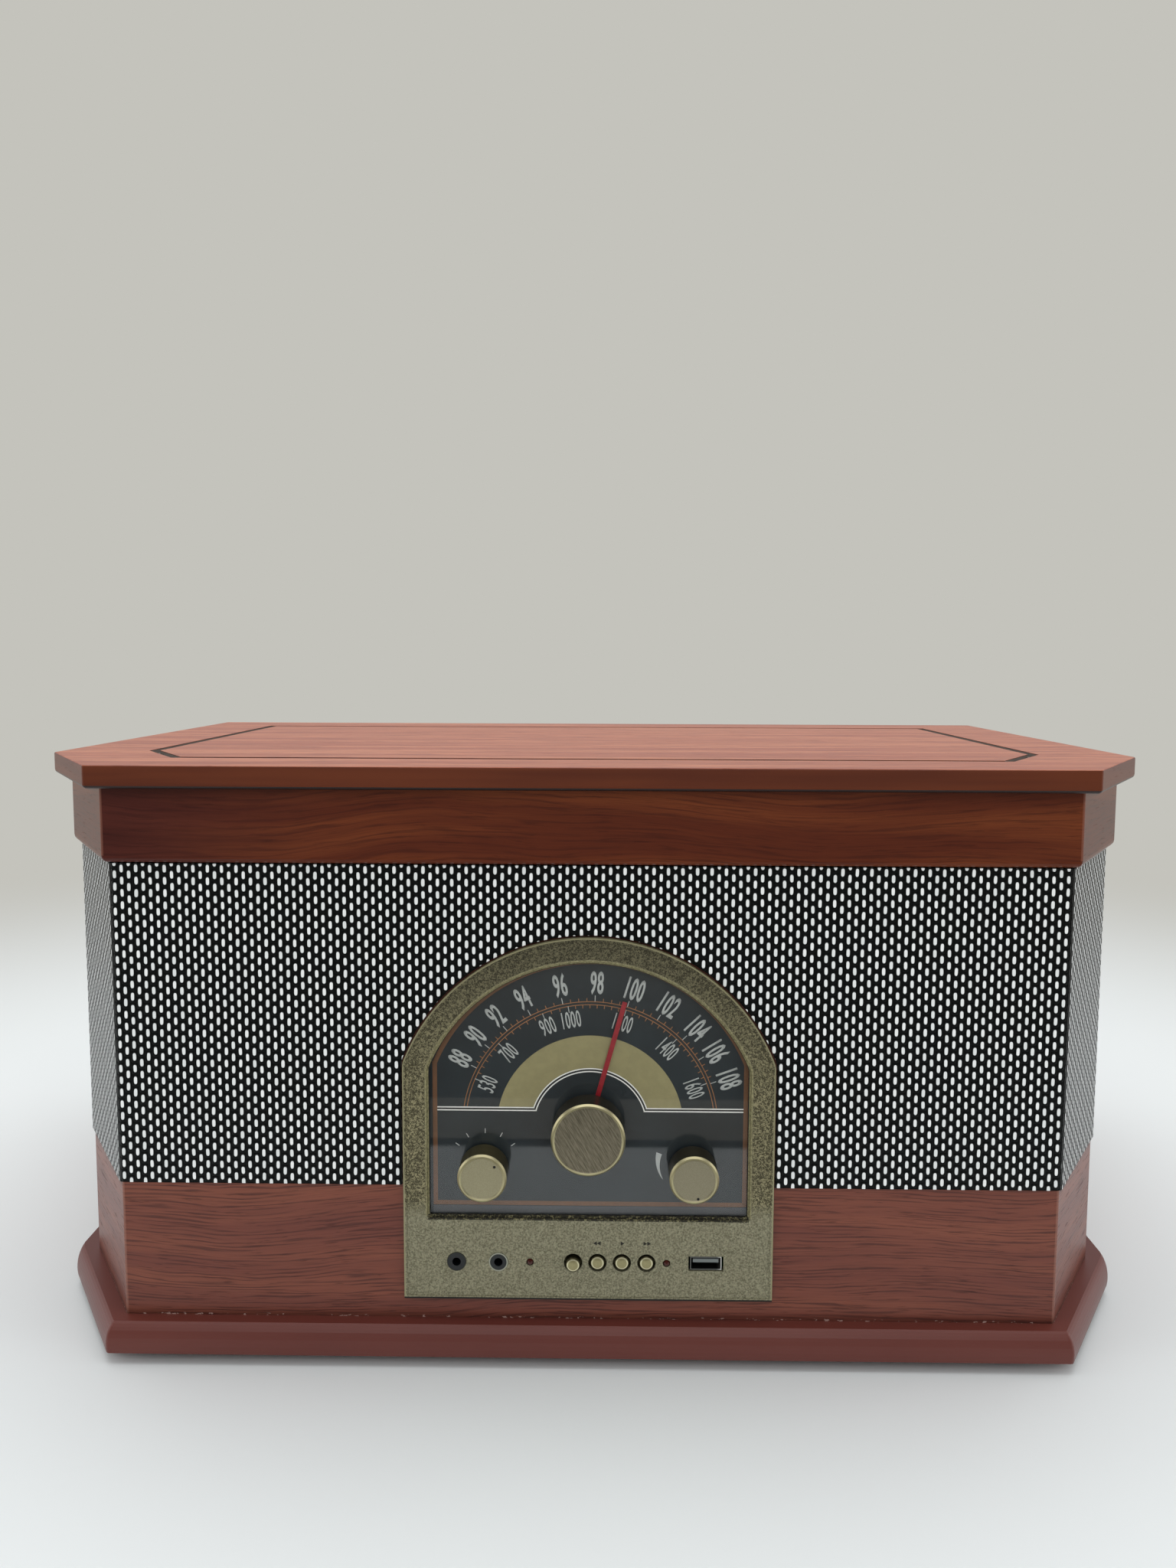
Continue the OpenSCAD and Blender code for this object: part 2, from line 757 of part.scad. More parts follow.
// Circuit board behind the strip, with a small switch under each button
board_t = 1.6;
board_w = 130;
board_h = 18;
switch_w = 6;
switch_h = 3.4;
latch_switch_h = 2;
module control_board() {
  color([0.1, 0.32, 0.18])
    upright(board_y, board_t)
      translate([-board_w / 2, row_z - board_h / 2 + 1.5])
        square([board_w, board_h]);
  color([0.15, 0.15, 0.15])
    for (spot = [[latch_x, latch_switch_h], [previous_x, switch_h], [play_x, switch_h],
                 [next_x, switch_h]])
      upright(board_y - spot[1], spot[1])
        translate([spot[0] - switch_w / 2, row_z - switch_w / 2])
          square(switch_w);
}

// A control behind the tray: a body with a bearing for the shaft that turns in it
module control_body(x, z, deep) {
  difference() {
    union() {
      upright(mount_y, deep) translate([x, z]) children();
      rod(x, z, chassis_y, chassis_t, shaft_hole_r - 0.1);
    }
    rod(x, z, chassis_y - 1, chassis_t + deep - 1, shaft_r + running);
  }
}

control_deep = 12;
module function_switch() {
  color([0.3, 0.3, 0.32])
    control_body(-small_x, small_z, control_deep) circle(r = 13, $fn = small);
}

module volume_control() {
  color([0.62, 0.62, 0.64])
    control_body(small_x, small_z, control_deep) circle(r = 12, $fn = small);
}

module tuning_capacitor() {
  color([0.85, 0.85, 0.82])
    control_body(0, tuning_z, control_deep) square(22, center = true);
}

// Speakers: a pressed basket with open windows, a paper cone and a round magnet
basket_t = 1.2;
basket_foot_r = 24;
magnet_t = 14;
coil_r = 13;
module speaker_baskets() {
  flat_y = inner_y + basket_t;
  seat_y = inner_y + speaker_deep - magnet_t;
  color([0.2, 0.2, 0.21])
    for (x = mirrored(speaker_x))
      difference() {
        turned(x, speaker_z)
          polygon([[speaker_hole_r - 1, inner_y], [speaker_r, inner_y], [speaker_r, flat_y],
                   [speaker_hole_r, flat_y], [basket_foot_r + 1, seat_y],
                   [basket_foot_r + 1, seat_y + basket_t], [coil_r + 1, seat_y + basket_t],
                   [coil_r + 1, seat_y], [basket_foot_r, seat_y - 0.4],
                   [speaker_hole_r - 1, flat_y + 0.6]]);
        for (k = [0 : 3])
          translate([x, front_y + (flat_y + seat_y) / 2, speaker_z])
            rotate([0, 45 + 90 * k, 0])
              translate([25, 0, 0])
                cube([40, (seat_y - flat_y) * 0.5, 26], center = true);
      }
}

module speaker_cones() {
  seat_y = inner_y + speaker_deep - magnet_t;
  edge = speaker_hole_r - 1.3;
  roll = edge - 2.7;
  cone = edge - 4.7;
  color([0.08, 0.08, 0.08])
    for (x = mirrored(speaker_x))
      turned(x, speaker_z)
        polygon([[0, seat_y - 12], [coil_r - 5, seat_y - 10], [coil_r, seat_y - 7],
                 [cone - 1.5, inner_y + 3], [cone, inner_y - 0.5], [roll, inner_y - 1.5],
                 [edge - 0.7, inner_y - 0.5], [edge, inner_y + 0.4], [edge, inner_y + 1.2],
                 [edge - 0.7, inner_y + 0.5], [roll, inner_y - 0.5], [cone + 0.4, inner_y + 0.3],
                 [cone - 1, inner_y + 4], [coil_r + 0.2, seat_y - 5.8],
                 [coil_r + 0.2, seat_y + basket_t], [coil_r - 0.6, seat_y + basket_t],
                 [coil_r - 0.6, seat_y - 6], [coil_r - 5, seat_y - 9], [0, seat_y - 11]]);
}

module speaker_magnets() {
  magnet_y = inner_y + speaker_deep - magnet_t + basket_t;
  color([0.35, 0.35, 0.36])
    for (x = mirrored(speaker_x))
      turned(x, speaker_z)
        polygon([[0, magnet_y], [magnet_r - 3, magnet_y], [magnet_r - 3, magnet_y + 3],
                 [magnet_r, magnet_y + 3], [magnet_r, magnet_y + 11],
                 [magnet_r - 3, magnet_y + 11], [magnet_r - 3, magnet_y + magnet_t],
                 [0, magnet_y + magnet_t]]);
}

// Amplifier and radio board on four posts, with its large capacitors and a cooling fin
main_w = 150;
main_d = 100;
main_back = 81;
post_h = 6;
post_r = 3;
can_h = 25;
can_r = 8;
fin_w = 50;
fin_d = 12;
fin_h = 28;
fin_slots = 5;
module main_board() {
  w = main_w;
  d = main_d;
  post = post_h;
  origin = [-w / 2, front_y + back_y - main_back - d, floor_z];
  color([0.1, 0.32, 0.18])
    translate(origin + [0, 0, post])
      cube([w, d, board_t]);
  color([0.6, 0.6, 0.6])
    for (x = [2 * post_r, w - 2 * post_r], y = [2 * post_r, d - 2 * post_r])
      translate(origin + [x, y, 0])
        cylinder(h = post, r = post_r, $fn = small);
  color([0.12, 0.12, 0.35])
    for (x = [w / 5, w / 5 + 2 * can_r + 2])
      translate(origin + [x, d * 0.7, post + board_t])
        cylinder(h = can_h, r = can_r, $fn = small);
  color([0.7, 0.7, 0.72])
    translate(origin + [w / 2, d - fin_d - 10, post + board_t])
      difference() {
        cube([fin_w, fin_d, fin_h]);
        for (k = [0 : fin_slots - 1])
          translate([(k + 0.5) * fin_w / fin_slots - 2.5, fin_d / 4, -1])
            cube([5, fin_d, fin_h + 2]);
      }
}

transformer_back = 92;
module power_transformer() {
  w = 54;
  d = 24;
  h = 44;
  origin = [inlet_x - w / 2 - 10, front_y + back_y - transformer_back - d, floor_z];
  color([0.5, 0.5, 0.52])
    difference() {
      translate(origin)
        cube([w, d, h]);
      for (x = [10, w - 22])
        translate(origin + [x, -1, 9])
          cube([12, d + 2, h - 18]);
    }
  color([0.75, 0.6, 0.2])
    difference() {
      translate(origin + [10, -9, 9])
        cube([w - 20, d + 18, h - 18]);
      translate(origin + [22, 0, 8])
        cube([w - 44, d, h - 16]);
    }
}

// Two-pin mains inlet, let into the back
pin_pitch = 8.6;
module mains_inlet() {
  recess_y = back_y + plate_t - 10;
  color([0.06, 0.06, 0.06])
    difference() {
      union() {
        upright(back_y - inlet_deep, inlet_deep)
          translate([inlet_x - inlet_w / 2, back_row_z - inlet_h / 2])
            square([inlet_w, inlet_h]);
        upright(back_y, plate_t)
          translate([inlet_x - inlet_w / 2 - 3, back_row_z - inlet_h / 2 - 3])
            square([inlet_w + 6, inlet_h + 6]);
      }
      for (s = [-1, 1])
        rod(inlet_x + s * pin_pitch / 2, back_row_z, recess_y, 12, 4);
      upright(recess_y, 12)
        translate([inlet_x - pin_pitch / 2, back_row_z - 3.6])
          square([pin_pitch, 7.2]);
    }
  color([0.8, 0.78, 0.7])
    for (s = [-1, 1])
      rod(inlet_x + s * pin_pitch / 2, back_row_z, recess_y, 9, 1.2);
}

// Two line sockets on one plate
module line_sockets() {
  color([0.75, 0.75, 0.76])
    difference() {
      union() {
        upright(back_y, plate_t)
          translate([-line_x - line_pitch / 2 - 10, back_row_z - 9])
            square([line_pitch + 20, 18]);
        for (s = [-1, 1]) {
          rod(-line_x + s * line_pitch / 2, back_row_z, back_y + plate_t, line_len, line_r);
          rod(-line_x + s * line_pitch / 2, back_row_z, back_y - 6, 6, 5);
        }
      }
      for (s = [-1, 1])
        rod(-line_x + s * line_pitch / 2, back_row_z, back_y - 3, line_len + 6, 1.65);
    }
}

// Spindle: a stem through the deck, a collar that the platter runs on, and the record's pin
axle_r = 3.9;
module spindle() {
  stem_z = deck_z - deck_t - 8;
  color([0.8, 0.8, 0.82])
    translate([spindle_at[0], spindle_at[1], 0])
      rotate_extrude($fn = fine)
        polygon([[0, stem_z], [bearing_r, stem_z], [bearing_r, deck_z - well_deep],
                 [9, deck_z - well_deep], [9, platter_z], [axle_r, platter_z],
                 [axle_r, record_z], [spindle_r, record_z], [spindle_r, record_z + spindle_up],
                 [spindle_r - 1.2, record_z + spindle_up + 1.6], [0, record_z + spindle_up + 2]]);
}

motor_h = 24;
motor_shaft_r = 1;
module drive_motor() {
  motor_z = deck_z - deck_t - motor_h;
  color([0.66, 0.66, 0.68])
    translate([motor_at[0], motor_at[1], 0])
      difference() {
        union() {
          translate([0, 0, motor_z])
            cylinder(h = motor_h, r = motor_r, $fn = fine);
          translate([0, 0, motor_z - 2])
            cylinder(h = 2, r = 5, $fn = small);
        }
        translate([0, 0, motor_z + 4])
          cylinder(h = motor_h, r = motor_shaft_r + running, $fn = small);
      }
}

// The belt runs round the drive ring and the pulley, on two straight tangents
belt_z = platter_z + 1.4;
belt_steps = 80;
turn_steps = 16;
function belt_path(big, little) =
  let (lean = acos((big - little) / motor_off),
       step = (360 - 2 * lean) / belt_steps,
       turn = 2 * lean / turn_steps)
  [for (k = [0 : belt_steps]) big / cos(step / 2) * way(lean + k * step),
   for (k = [0 : turn_steps]) [motor_off, 0] + little / cos(turn / 2) * way(k * turn - lean)];
module drive_belt() {
  color([0.07, 0.07, 0.07])
    translate([spindle_at[0], spindle_at[1], belt_z])
      rotate([0, 0, motor_angle])
        linear_extrude(belt_w)
          difference() {
            polygon(belt_path(ring_r + running + belt_t, pulley_r + running + belt_t));
            polygon(belt_path(ring_r + running, pulley_r + running));
          }
}

// Turret that carries the arm's upright bearing
turret_r = 24;
arm_pin_r = 3;
turret_h = 10;
module arm_base() {
  color([0.1, 0.1, 0.1])
    translate([pivot_at[0], pivot_at[1], 0])
      difference() {
        rotate_extrude($fn = fine)
          polygon([[0, deck_z - deck_t - 3], [arm_hole_r, deck_z - deck_t - 3],
                   [arm_hole_r, deck_z], [turret_r, deck_z], [turret_r, deck_z + 4],
                   [turret_r - 3, deck_z + 6], [12, deck_z + 6.5], [12, deck_z + turret_h],
                   [0, deck_z + turret_h]]);
        translate([0, 0, deck_z - 2])
          cylinder(h = turret_h + 10, r = arm_pin_r + running, $fn = small);
      }
}

// The rest is open towards the record, so that the arm swings off it
module arm_rest() {
  pad_z = arm_z - arm_r - slack;
  color([0.1, 0.1, 0.1])
    translate([pivot_at[0], pivot_at[1] - rest_off, 0]) {
      translate([0, 0, deck_z])
        cylinder(h = 3, r = 8, $fn = small);
      translate([0, 0, deck_z + 3])
        cylinder(h = pad_z - deck_z - 6, r = 4, $fn = small);
      translate([-6, -4, pad_z - 3])
        cube([arm_r + slack + 9, 8, 3]);
      translate([arm_r + slack, -4, pad_z])
        cube([3, 8, arm_r + 4]);
    }
}

// Hinges behind the back: leaves on the cabinet and on the lid, round one pin each
pin_z = rim_z + lid_gap / 2;
knuckles = 5;
module hinge_leaf(x, up, first) {
  pitch = hinge_len / knuckles;
  edge = knuckle_r + slack;
  difference() {
    union() {
      upright(back_y, leaf_t)
        translate([x - hinge_len / 2, up > 0 ? pin_z + edge : pin_z - leaf_h])
          square([hinge_len, leaf_h - edge]);
      for (k = [first : 2 : knuckles - 1])
        translate([x - hinge_len / 2 + k * pitch + slack / 2, front_y, pin_z]) {
          translate([0, pin_y, 0])
            rotate([0, 90, 0])
              cylinder(h = pitch - slack, r = knuckle_r, $fn = small);
          translate([0, back_y, up > 0 ? 0 : -edge - 1])
            cube([pitch - slack, leaf_t, edge + 1]);
        }
    }
    translate([x - hinge_len / 2 - 1, front_y + pin_y, pin_z])
      rotate([0, 90, 0])
        cylinder(h = hinge_len + 2, r = hinge_pin_r + running, $fn = small);
    for (s = [-1, 1])
      rod(x + s * hinge_len / 3, pin_z + up * leaf_screw_drop, back_y - 1, leaf_t + 2, 1.3);
  }
}

module cabinet_hinge_leaves() {
  color([0.72, 0.62, 0.36])
    for (x = mirrored(hinge_x)) {
      hinge_leaf(x, -1, 0);
      translate([x - hinge_len / 2, front_y + pin_y, pin_z])
        rotate([0, 90, 0])
          cylinder(h = hinge_len, r = hinge_pin_r, $fn = small);
    }
}

module lid_hinge_leaves() {
  color([0.72, 0.62, 0.36])
    for (x = mirrored(hinge_x))
      hinge_leaf(x, 1, 1);
}

// A screw with a domed head, drawn along +Z with its head's seat at the origin
module screw(r, head_r, length) {
  rotate_extrude($fn = small)
    polygon([[0, -length], [r * 0.5, -length + 0.6], [r, -length + 2], [r, 0], [head_r, 0],
             [head_r * 0.75, head_r * 0.45], [0, head_r * 0.6]]);
}

leaf_screw_r = 1.2;
leaf_head_r = 2.5;
leaf_screw_len = 8;
lid_screw_len = 7;
deck_screw_len = 13;
deck_head_r = 3.2;
foot_head_r = 3.3;
module cabinet_screws() {
  color([0.7, 0.7, 0.7]) {
    for (p = foot_places)
      translate([p[0], p[1], foot_h - 1.6])
        rotate([180, 0, 0])
          screw(foot_screw_r, foot_head_r, foot_screw_len);
    for (x = mirrored(hinge_x), s = [-1, 1])
      translate([x + s * hinge_len / 3, front_y + back_y + leaf_t, pin_z - leaf_screw_drop])
        rotate([-90, 0, 0])
          screw(leaf_screw_r, leaf_head_r, leaf_screw_len);
  }
}

module lid_screws() {
  color([0.7, 0.7, 0.7])
    for (x = mirrored(hinge_x), s = [-1, 1])
      translate([x + s * hinge_len / 3, front_y + back_y + leaf_t, pin_z + leaf_screw_drop])
        rotate([-90, 0, 0])
          screw(leaf_screw_r, leaf_head_r, lid_screw_len);
}

module deck_screws() {
  color([0.7, 0.7, 0.7])
    for (p = screw_places)
      translate([p[0], p[1], deck_z])
        screw(deck_screw_r, deck_head_r, deck_screw_len);
}

// Lid: a solid board with rounded edges and a square groove, on a mitred frame
round_steps = 4;
function all_corners(inset) = [for (i = [0 : 5]) max(corner_round - inset, sharp)];
module lid_top() {
  outer = groove_in - groove_w / 2;
  inner = groove_in + groove_w / 2;
  color([0.42, 0.22, 0.16])
    difference() {
      loft([for (half = [0, 1], k = [0 : round_steps])
        let (a = 90 * (half - 1 + k / round_steps),
             r = half == 0 ? lid_round : lid_edge,
             z = half == 0 ? top_z + lid_round : lid_h - lid_edge,
             inset = r * (1 - cos(a)))
        at_z(ring(plan(inset, inset), all_corners(inset)), z + r * sin(a))]);
      translate([0, 0, lid_h - groove_deep])
        linear_extrude(groove_deep + 1)
          difference() {
            polygon(plan(outer, outer));
            polygon(plan(inner, inner));
          }
    }
}

module lid_rails() {
  inner = plan(lid_frame_in + lid_wall, back_in + lid_wall);
  color([0.42, 0.22, 0.16])
    difference() {
      for (i = [0 : 5]) {
        j = (i + 1) % 6;
        loft([for (k = [0 : round_steps + 1])
          let (a = 90 * min(k, round_steps) / round_steps,
               inset = rail_round * (1 - sin(a)),
               r = max(corner_round - inset, sharp))
          at_z(concat(outside(plan(lid_frame_in + inset, back_in + inset), i, j, r, r),
                      [inner[j], inner[i]]),
               k > round_steps ? top_z : lid_z + rail_round * (1 - cos(a)))]);
      }
      for (x = mirrored(hinge_x), s = [-1, 1])
        rod(x + s * hinge_len / 3, pin_z + leaf_screw_drop, back_y - lid_screw_len,
            lid_screw_len + 1, leaf_screw_r + running);
    }
}

// Thin pads under the lid's side rails, which close on the cabinet's sides
pad_in = 40;
module lid_pads() {
  pad_w = lid_frame_in + lid_wall - wall_in - 0.6;
  color([0.06, 0.06, 0.06])
    for (side = [-1, 1], y = [corner_d + pad_in, lid_d - pad_in])
      translate([side * (lid_w / 2 - wall_in - 0.3 - pad_w / 2) - pad_w / 2, front_y + y, rim_z])
        cube([pad_w, 14, lid_gap]);
}

// Knobs: a dished metal cap with a bright bevel, a thin skirt and a hub for the shaft
module knob(x, z, r, length, dot_angle, dot_out, dot_r) {
  rear = lens_y - knob_gap;
  front = rear - length;
  difference() {
    turned(x, z)
      polygon([[0, front + 0.5], [r - 1.8, front + 0.5], [r - 1.2, front], [r - 0.7, front + 0.1],
               [r, front + 0.9], [r, rear], [r - 1.6, rear], [r - 1.6, front + 3.4],
               [shaft_r + 2.2, front + 3.4], [shaft_r + 2.2, rear - 0.6], [0, rear - 0.6]]);
    rod(x, z, front + 3.4, length, shaft_r);
    if (dot_r > 0)
      rod(x + dot_out * sin(dot_angle), z + dot_out * cos(dot_angle), front, 1, dot_r);
  }
}

shaft_in = 3.4;
function shaft_front(length) = lens_y - knob_gap - length + shaft_in;
module control_shaft(x, z, length) {
  rod(x, z, shaft_front(length), mount_y + control_deep - 2 - shaft_front(length), shaft_r);
}

module tuning_knob() {
  color([0.55, 0.51, 0.4])
    knob(0, tuning_z, tuning_r, tuning_len, 0, 0, 0);
}

module tuning_shaft() {
  color([0.75, 0.75, 0.77])
    control_shaft(0, tuning_z, tuning_len);
}

// Pointer on the tuning shaft, between the window and the dial
pointer_t = 0.6;
module dial_pointer() {
  blade_y = lens_y + lens_t + (dial_space - pointer_t) / 2;
  color([0.6, 0.06, 0.08])
    translate([0, front_y + blade_y, tuning_z])
      rotate([0, pointer_angle, 0])
        difference() {
          union() {
            translate([-pointer_w / 2, 0, 0])
              cube([pointer_w, pointer_t, pointer_len]);
            rotate([-90, 0, 0])
              cylinder(h = pointer_t, r = shaft_r + 2.5, $fn = small);
          }
          translate([0, -1, 0])
            rotate([-90, 0, 0])
              cylinder(h = pointer_t + 2, r = shaft_r, $fn = small);
        }
}

module selector_knob() {
  color([0.58, 0.54, 0.42])
    knob(-small_x, small_z, small_r, small_len, selector_angle, small_r - 3, 0.6);
}

module selector_shaft() {
  color([0.75, 0.75, 0.77])
    control_shaft(-small_x, small_z, small_len);
}

module volume_knob() {
  color([0.58, 0.54, 0.42])
    knob(small_x, small_z, small_r, small_len, volume_angle, small_r - 2.2, 0.6);
}

module volume_shaft() {
  color([0.75, 0.75, 0.77])
    control_shaft(small_x, small_z, small_len);
}

// Push buttons: a domed cap, a collar that keeps it behind the panel, and a stem to its switch
dome_steps = 4;
keeper_r = button_hole_r + 0.8;
keeper_t = 1;
stem_r = 2;
module push_button(x, out, travel, switch_front) {
  keeper_y = band_y + slack;
  stem_y = switch_front - travel - 0.1;
  color([0.55, 0.51, 0.4])
    turned(x, row_z, small)
      polygon(concat(
        [for (k = [0 : dome_steps])
          let (a = 90 * k / dome_steps)
          [button_r * sin(a), face_y - out + button_dome * (1 - cos(a))]],
        [[button_r, keeper_y], [keeper_r, keeper_y], [keeper_r, keeper_y + keeper_t],
         [stem_r, keeper_y + keeper_t], [stem_r, stem_y], [0, stem_y]]));
}

module usb_button() { push_button(latch_x, latch_out, latch_travel, board_y - latch_switch_h); }
module previous_button() { push_button(previous_x, button_out, button_travel, board_y - switch_h); }
module play_button() { push_button(play_x, button_out, button_travel, board_y - switch_h); }
module next_button() { push_button(next_x, button_out, button_travel, board_y - switch_h); }

// Platter: a turned shell with an outer skirt, the belt's ring and a hub on the spindle
module platter() {
  color([0.5, 0.5, 0.52])
    translate([spindle_at[0], spindle_at[1], 0])
      rotate_extrude($fn = fine)
        polygon([[axle_r + running, platter_z], [12, platter_z],
                 [12, mat_z - platter_wall], [ring_r - platter_wall, mat_z - platter_wall],
                 [ring_r - platter_wall, platter_z + 0.4], [ring_r, platter_z + 0.4],
                 [ring_r, mat_z - platter_wall], [platter_r - platter_wall, mat_z - platter_wall],
                 [platter_r - platter_wall, platter_z - 0.6], [platter_r - 0.6, platter_z - 0.6],
                 [platter_r, platter_z], [platter_r, mat_z - 4.5], [platter_r - 0.7, mat_z - 4],
                 [platter_r - 0.7, mat_z - 3.2], [platter_r, mat_z - 2.7], [platter_r, mat_z - 1],
                 [platter_r - 1, mat_z], [axle_r + running, mat_z]]);
}

mat_rings = 8;
label_r = 51;
module platter_mat() {
  hole = axle_r + slack;
  edge = platter_r - 3;
  label = label_r + 1;
  color([0.07, 0.07, 0.07])
    translate([spindle_at[0], spindle_at[1], mat_z])
      difference() {
        rotate_extrude($fn = fine)
          polygon([[hole, 0], [edge, 0], [edge, mat_t], [edge - 4, mat_t],
                   [edge - 5, mat_t - 0.5], [label, mat_t - 0.5], [label_r, mat_t - 1],
                   [hole + 8, mat_t - 1], [hole + 7, mat_t - 0.5], [hole, mat_t - 0.5]]);
        for (k = [1 : mat_rings])
          let (r = label + k * (edge - label - 6) / (mat_rings + 1))
            rotate_extrude($fn = fine)
              polygon([[r - 0.8, mat_t], [r + 0.8, mat_t], [r, mat_t - 1.3]]);
      }
}

module motor_pulley() {
  low = belt_z - 0.9;
  high = belt_z + belt_w + 0.9;
  color([0.85, 0.75, 0.4])
    translate([motor_at[0], motor_at[1], 0])
      rotate_extrude($fn = small)
        polygon([[0, deck_z - deck_t - motor_h + 6], [motor_shaft_r, deck_z - deck_t - motor_h + 6],
                 [motor_shaft_r, low], [flange_r, low], [flange_r, low + 0.6],
                 [pulley_r, low + 0.6], [pulley_r, high - 0.6], [flange_r, high - 0.6],
                 [flange_r, high], [0, high]]);
}

// Tonearm: a yoke that turns in the turret, and the arm that tips in the yoke
yoke_z = deck_z + turret_h + slack;
yoke_half = 9;
yoke_r = 13;
yoke_t = 3;
cheek_t = 2.5;
cheek_half = 5.5;
cheek_r = 4.6;
arm_axle_r = 1.2;
module arm_gimbal() {
  color([0.7, 0.7, 0.72])
    translate([pivot_at[0], pivot_at[1], 0])
      difference() {
        union() {
          translate([0, 0, deck_z])
            cylinder(h = turret_h + slack, r = arm_pin_r, $fn = small);
          rotate_extrude($fn = fine)
            polygon([[0, yoke_z], [yoke_r, yoke_z], [yoke_r, yoke_z + yoke_t - 1],
                     [yoke_r - 1, yoke_z + yoke_t], [0, yoke_z + yoke_t]]);
          for (s = [-1, 1])
            translate([s > 0 ? yoke_half : -yoke_half - cheek_t, 0, 0])
              rotate([90, 0, 90])
                linear_extrude(cheek_t) {
                  polygon([[-cheek_half, yoke_z + 1], [cheek_half, yoke_z + 1],
                           [cheek_r, arm_z], [-cheek_r, arm_z]]);
                  translate([0, arm_z]) circle(r = cheek_r, $fn = small);
                }
        }
        translate([-20, 0, arm_z])
          rotate([0, 90, 0])
            cylinder(h = 40, r = arm_axle_r + running, $fn = small);
      }
}

// Tube with a tapered boot, pivot block with its axle, and the grooved weight on its tail
block_half = yoke_half - slack;
block_d = 16;
block_h = 9;
block_bevel = 1.5;
boot_len = 16;
tail_len = 8;
tail_r = 2.6;
head_reach = 32;
tube_len = sqrt(pow(arm_len, 2) - pow(head_reach * sin(head_angle), 2))
  - head_reach * cos(head_angle);
module arm_tube() {
  long = block_d / 2;
  short = long - block_bevel;
  high = block_h / 2;
  low = high - block_bevel;
  color([0.12, 0.12, 0.12])
    translate([pivot_at[0], pivot_at[1], arm_z]) {
      rotate([90, 0, 90])
        translate([0, 0, -block_half])
          linear_extrude(2 * block_half)
            polygon([[-long, -low], [-short, -high], [short, -high], [long, -low],
                     [long, low], [short, high], [-short, high], [-long, low]]);
      translate([0, -long, 0])
        rotate([90, 0, 0])
          cylinder(h = boot_len, r1 = arm_r + 0.8, r2 = arm_r, $fn = small);
      translate([0, long, 0])
        rotate([-90, 0, 0])
          cylinder(h = tail_len + 2, r = tail_r, $fn = small);
      translate([-yoke_half - cheek_t, 0, 0])
        rotate([0, 90, 0])
          cylinder(h = 2 * (yoke_half + cheek_t), r = arm_axle_r, $fn = small);
      rotate([90, 0, 0])
        cylinder(h = tube_len, r = arm_r, $fn = small);
      translate([0, long + tail_len, 0])
        rotate([-90, 0, 0])
          rotate_extrude($fn = fine)
            polygon([[0, 0], [weight_r - 2, 0], [weight_r, 2], [weight_r, weight_len - 7],
                     [weight_r - 1, weight_len - 6.5], [weight_r - 1, weight_len - 5.5],
                     [weight_r, weight_len - 5], [weight_r, weight_len - 1.5],
                     [weight_r - 1.5, weight_len], [0, weight_len]]);
    }
}

// Headshell, turned towards the record, with a collar on the tube's end and a finger lift
head_w = 16;
head_t = 3;
head_rim = 1.6;
head_dish = 1.2;
neck_w = 8;
nose_len = 10;
lift_t = 1.2;
module at_head() {
  translate([pivot_at[0], pivot_at[1] - tube_len, 0])
    rotate([0, 0, -head_angle])
      children();
}

module head_shape(inset, start) {
  half = head_w / 2 - inset;
  neck = neck_w / 2 - inset / 2;
  polygon([[-neck, -start], [neck, -start], [half, -12 - inset / 2], [half, -head_reach],
           [half - 4, inset - head_reach - nose_len], [4 - half, inset - head_reach - nose_len],
           [-half, -head_reach], [-half, -12 - inset / 2]]);
}

module headshell() {
  color([0.1, 0.1, 0.1]) {
    at_head()
      translate([0, 0, head_z]) {
        difference() {
          linear_extrude(head_t) head_shape(0, 2);
          translate([0, 0, head_t - head_dish])
            linear_extrude(head_t) head_shape(head_rim, 9);
        }
        translate([head_w / 2, -head_reach - 1, 0])
          rotate([90, 0, 0])
            linear_extrude(5)
              polygon([[-2, 0], [4, 0], [8, 2.6], [8, 2.6 + lift_t], [3.6, lift_t],
                       [-2, lift_t]]);
      }
    translate([pivot_at[0], pivot_at[1] - tube_len, arm_z])
      rotate([90, 0, 0])
        cylinder(h = 5, r = arm_r + 0.8, $fn = small);
  }
}

// Cartridge under the headshell, with its stylus reaching down to the record
module cartridge() {
  body_z = record_z + 4;
  tip_z = record_z + 2.2;
  color([0.75, 0.15, 0.1])
    at_head()
      translate([0, -head_reach, 0]) {
        translate([-6, -4, body_z])
          cube([12, 20, head_z - body_z]);
        translate([-0.6, -0.4, tip_z + 1])
          cube([1.2, 8, body_z - tip_z - 1]);
        translate([0, 0.2, tip_z])
          cylinder(h = 1, r1 = 0.2, r2 = 0.6, $fn = 24);
      }
}

// Sliders in the deck: a ribbed thumb piece, a stem in the slot and a foot below the deck
module deck_slider(x, y) {
  color([0.8, 0.8, 0.82])
    translate([x, front_y + y, 0]) {
      translate([-4, -5, deck_z + slack])
        difference() {
          cube([8, 10, 6]);
          for (k = [0 : 3])
            translate([-1, 1.3 + 2 * k, 5])
              cube([10, 1, 2]);
        }
      translate([-slot_w / 2 + slack, -slider_stem / 2, deck_z - deck_t - 3])
        cube([slot_w - 2 * slack, slider_stem, deck_t + 3 + slack]);
      translate([-4, -5, deck_z - deck_t - slack - 3])
        cube([8, 10, 3]);
    }
}

module speed_slider() { deck_slider(slider_x, speed_y); }
module autostop_slider() { deck_slider(slider_x, stop_y); }

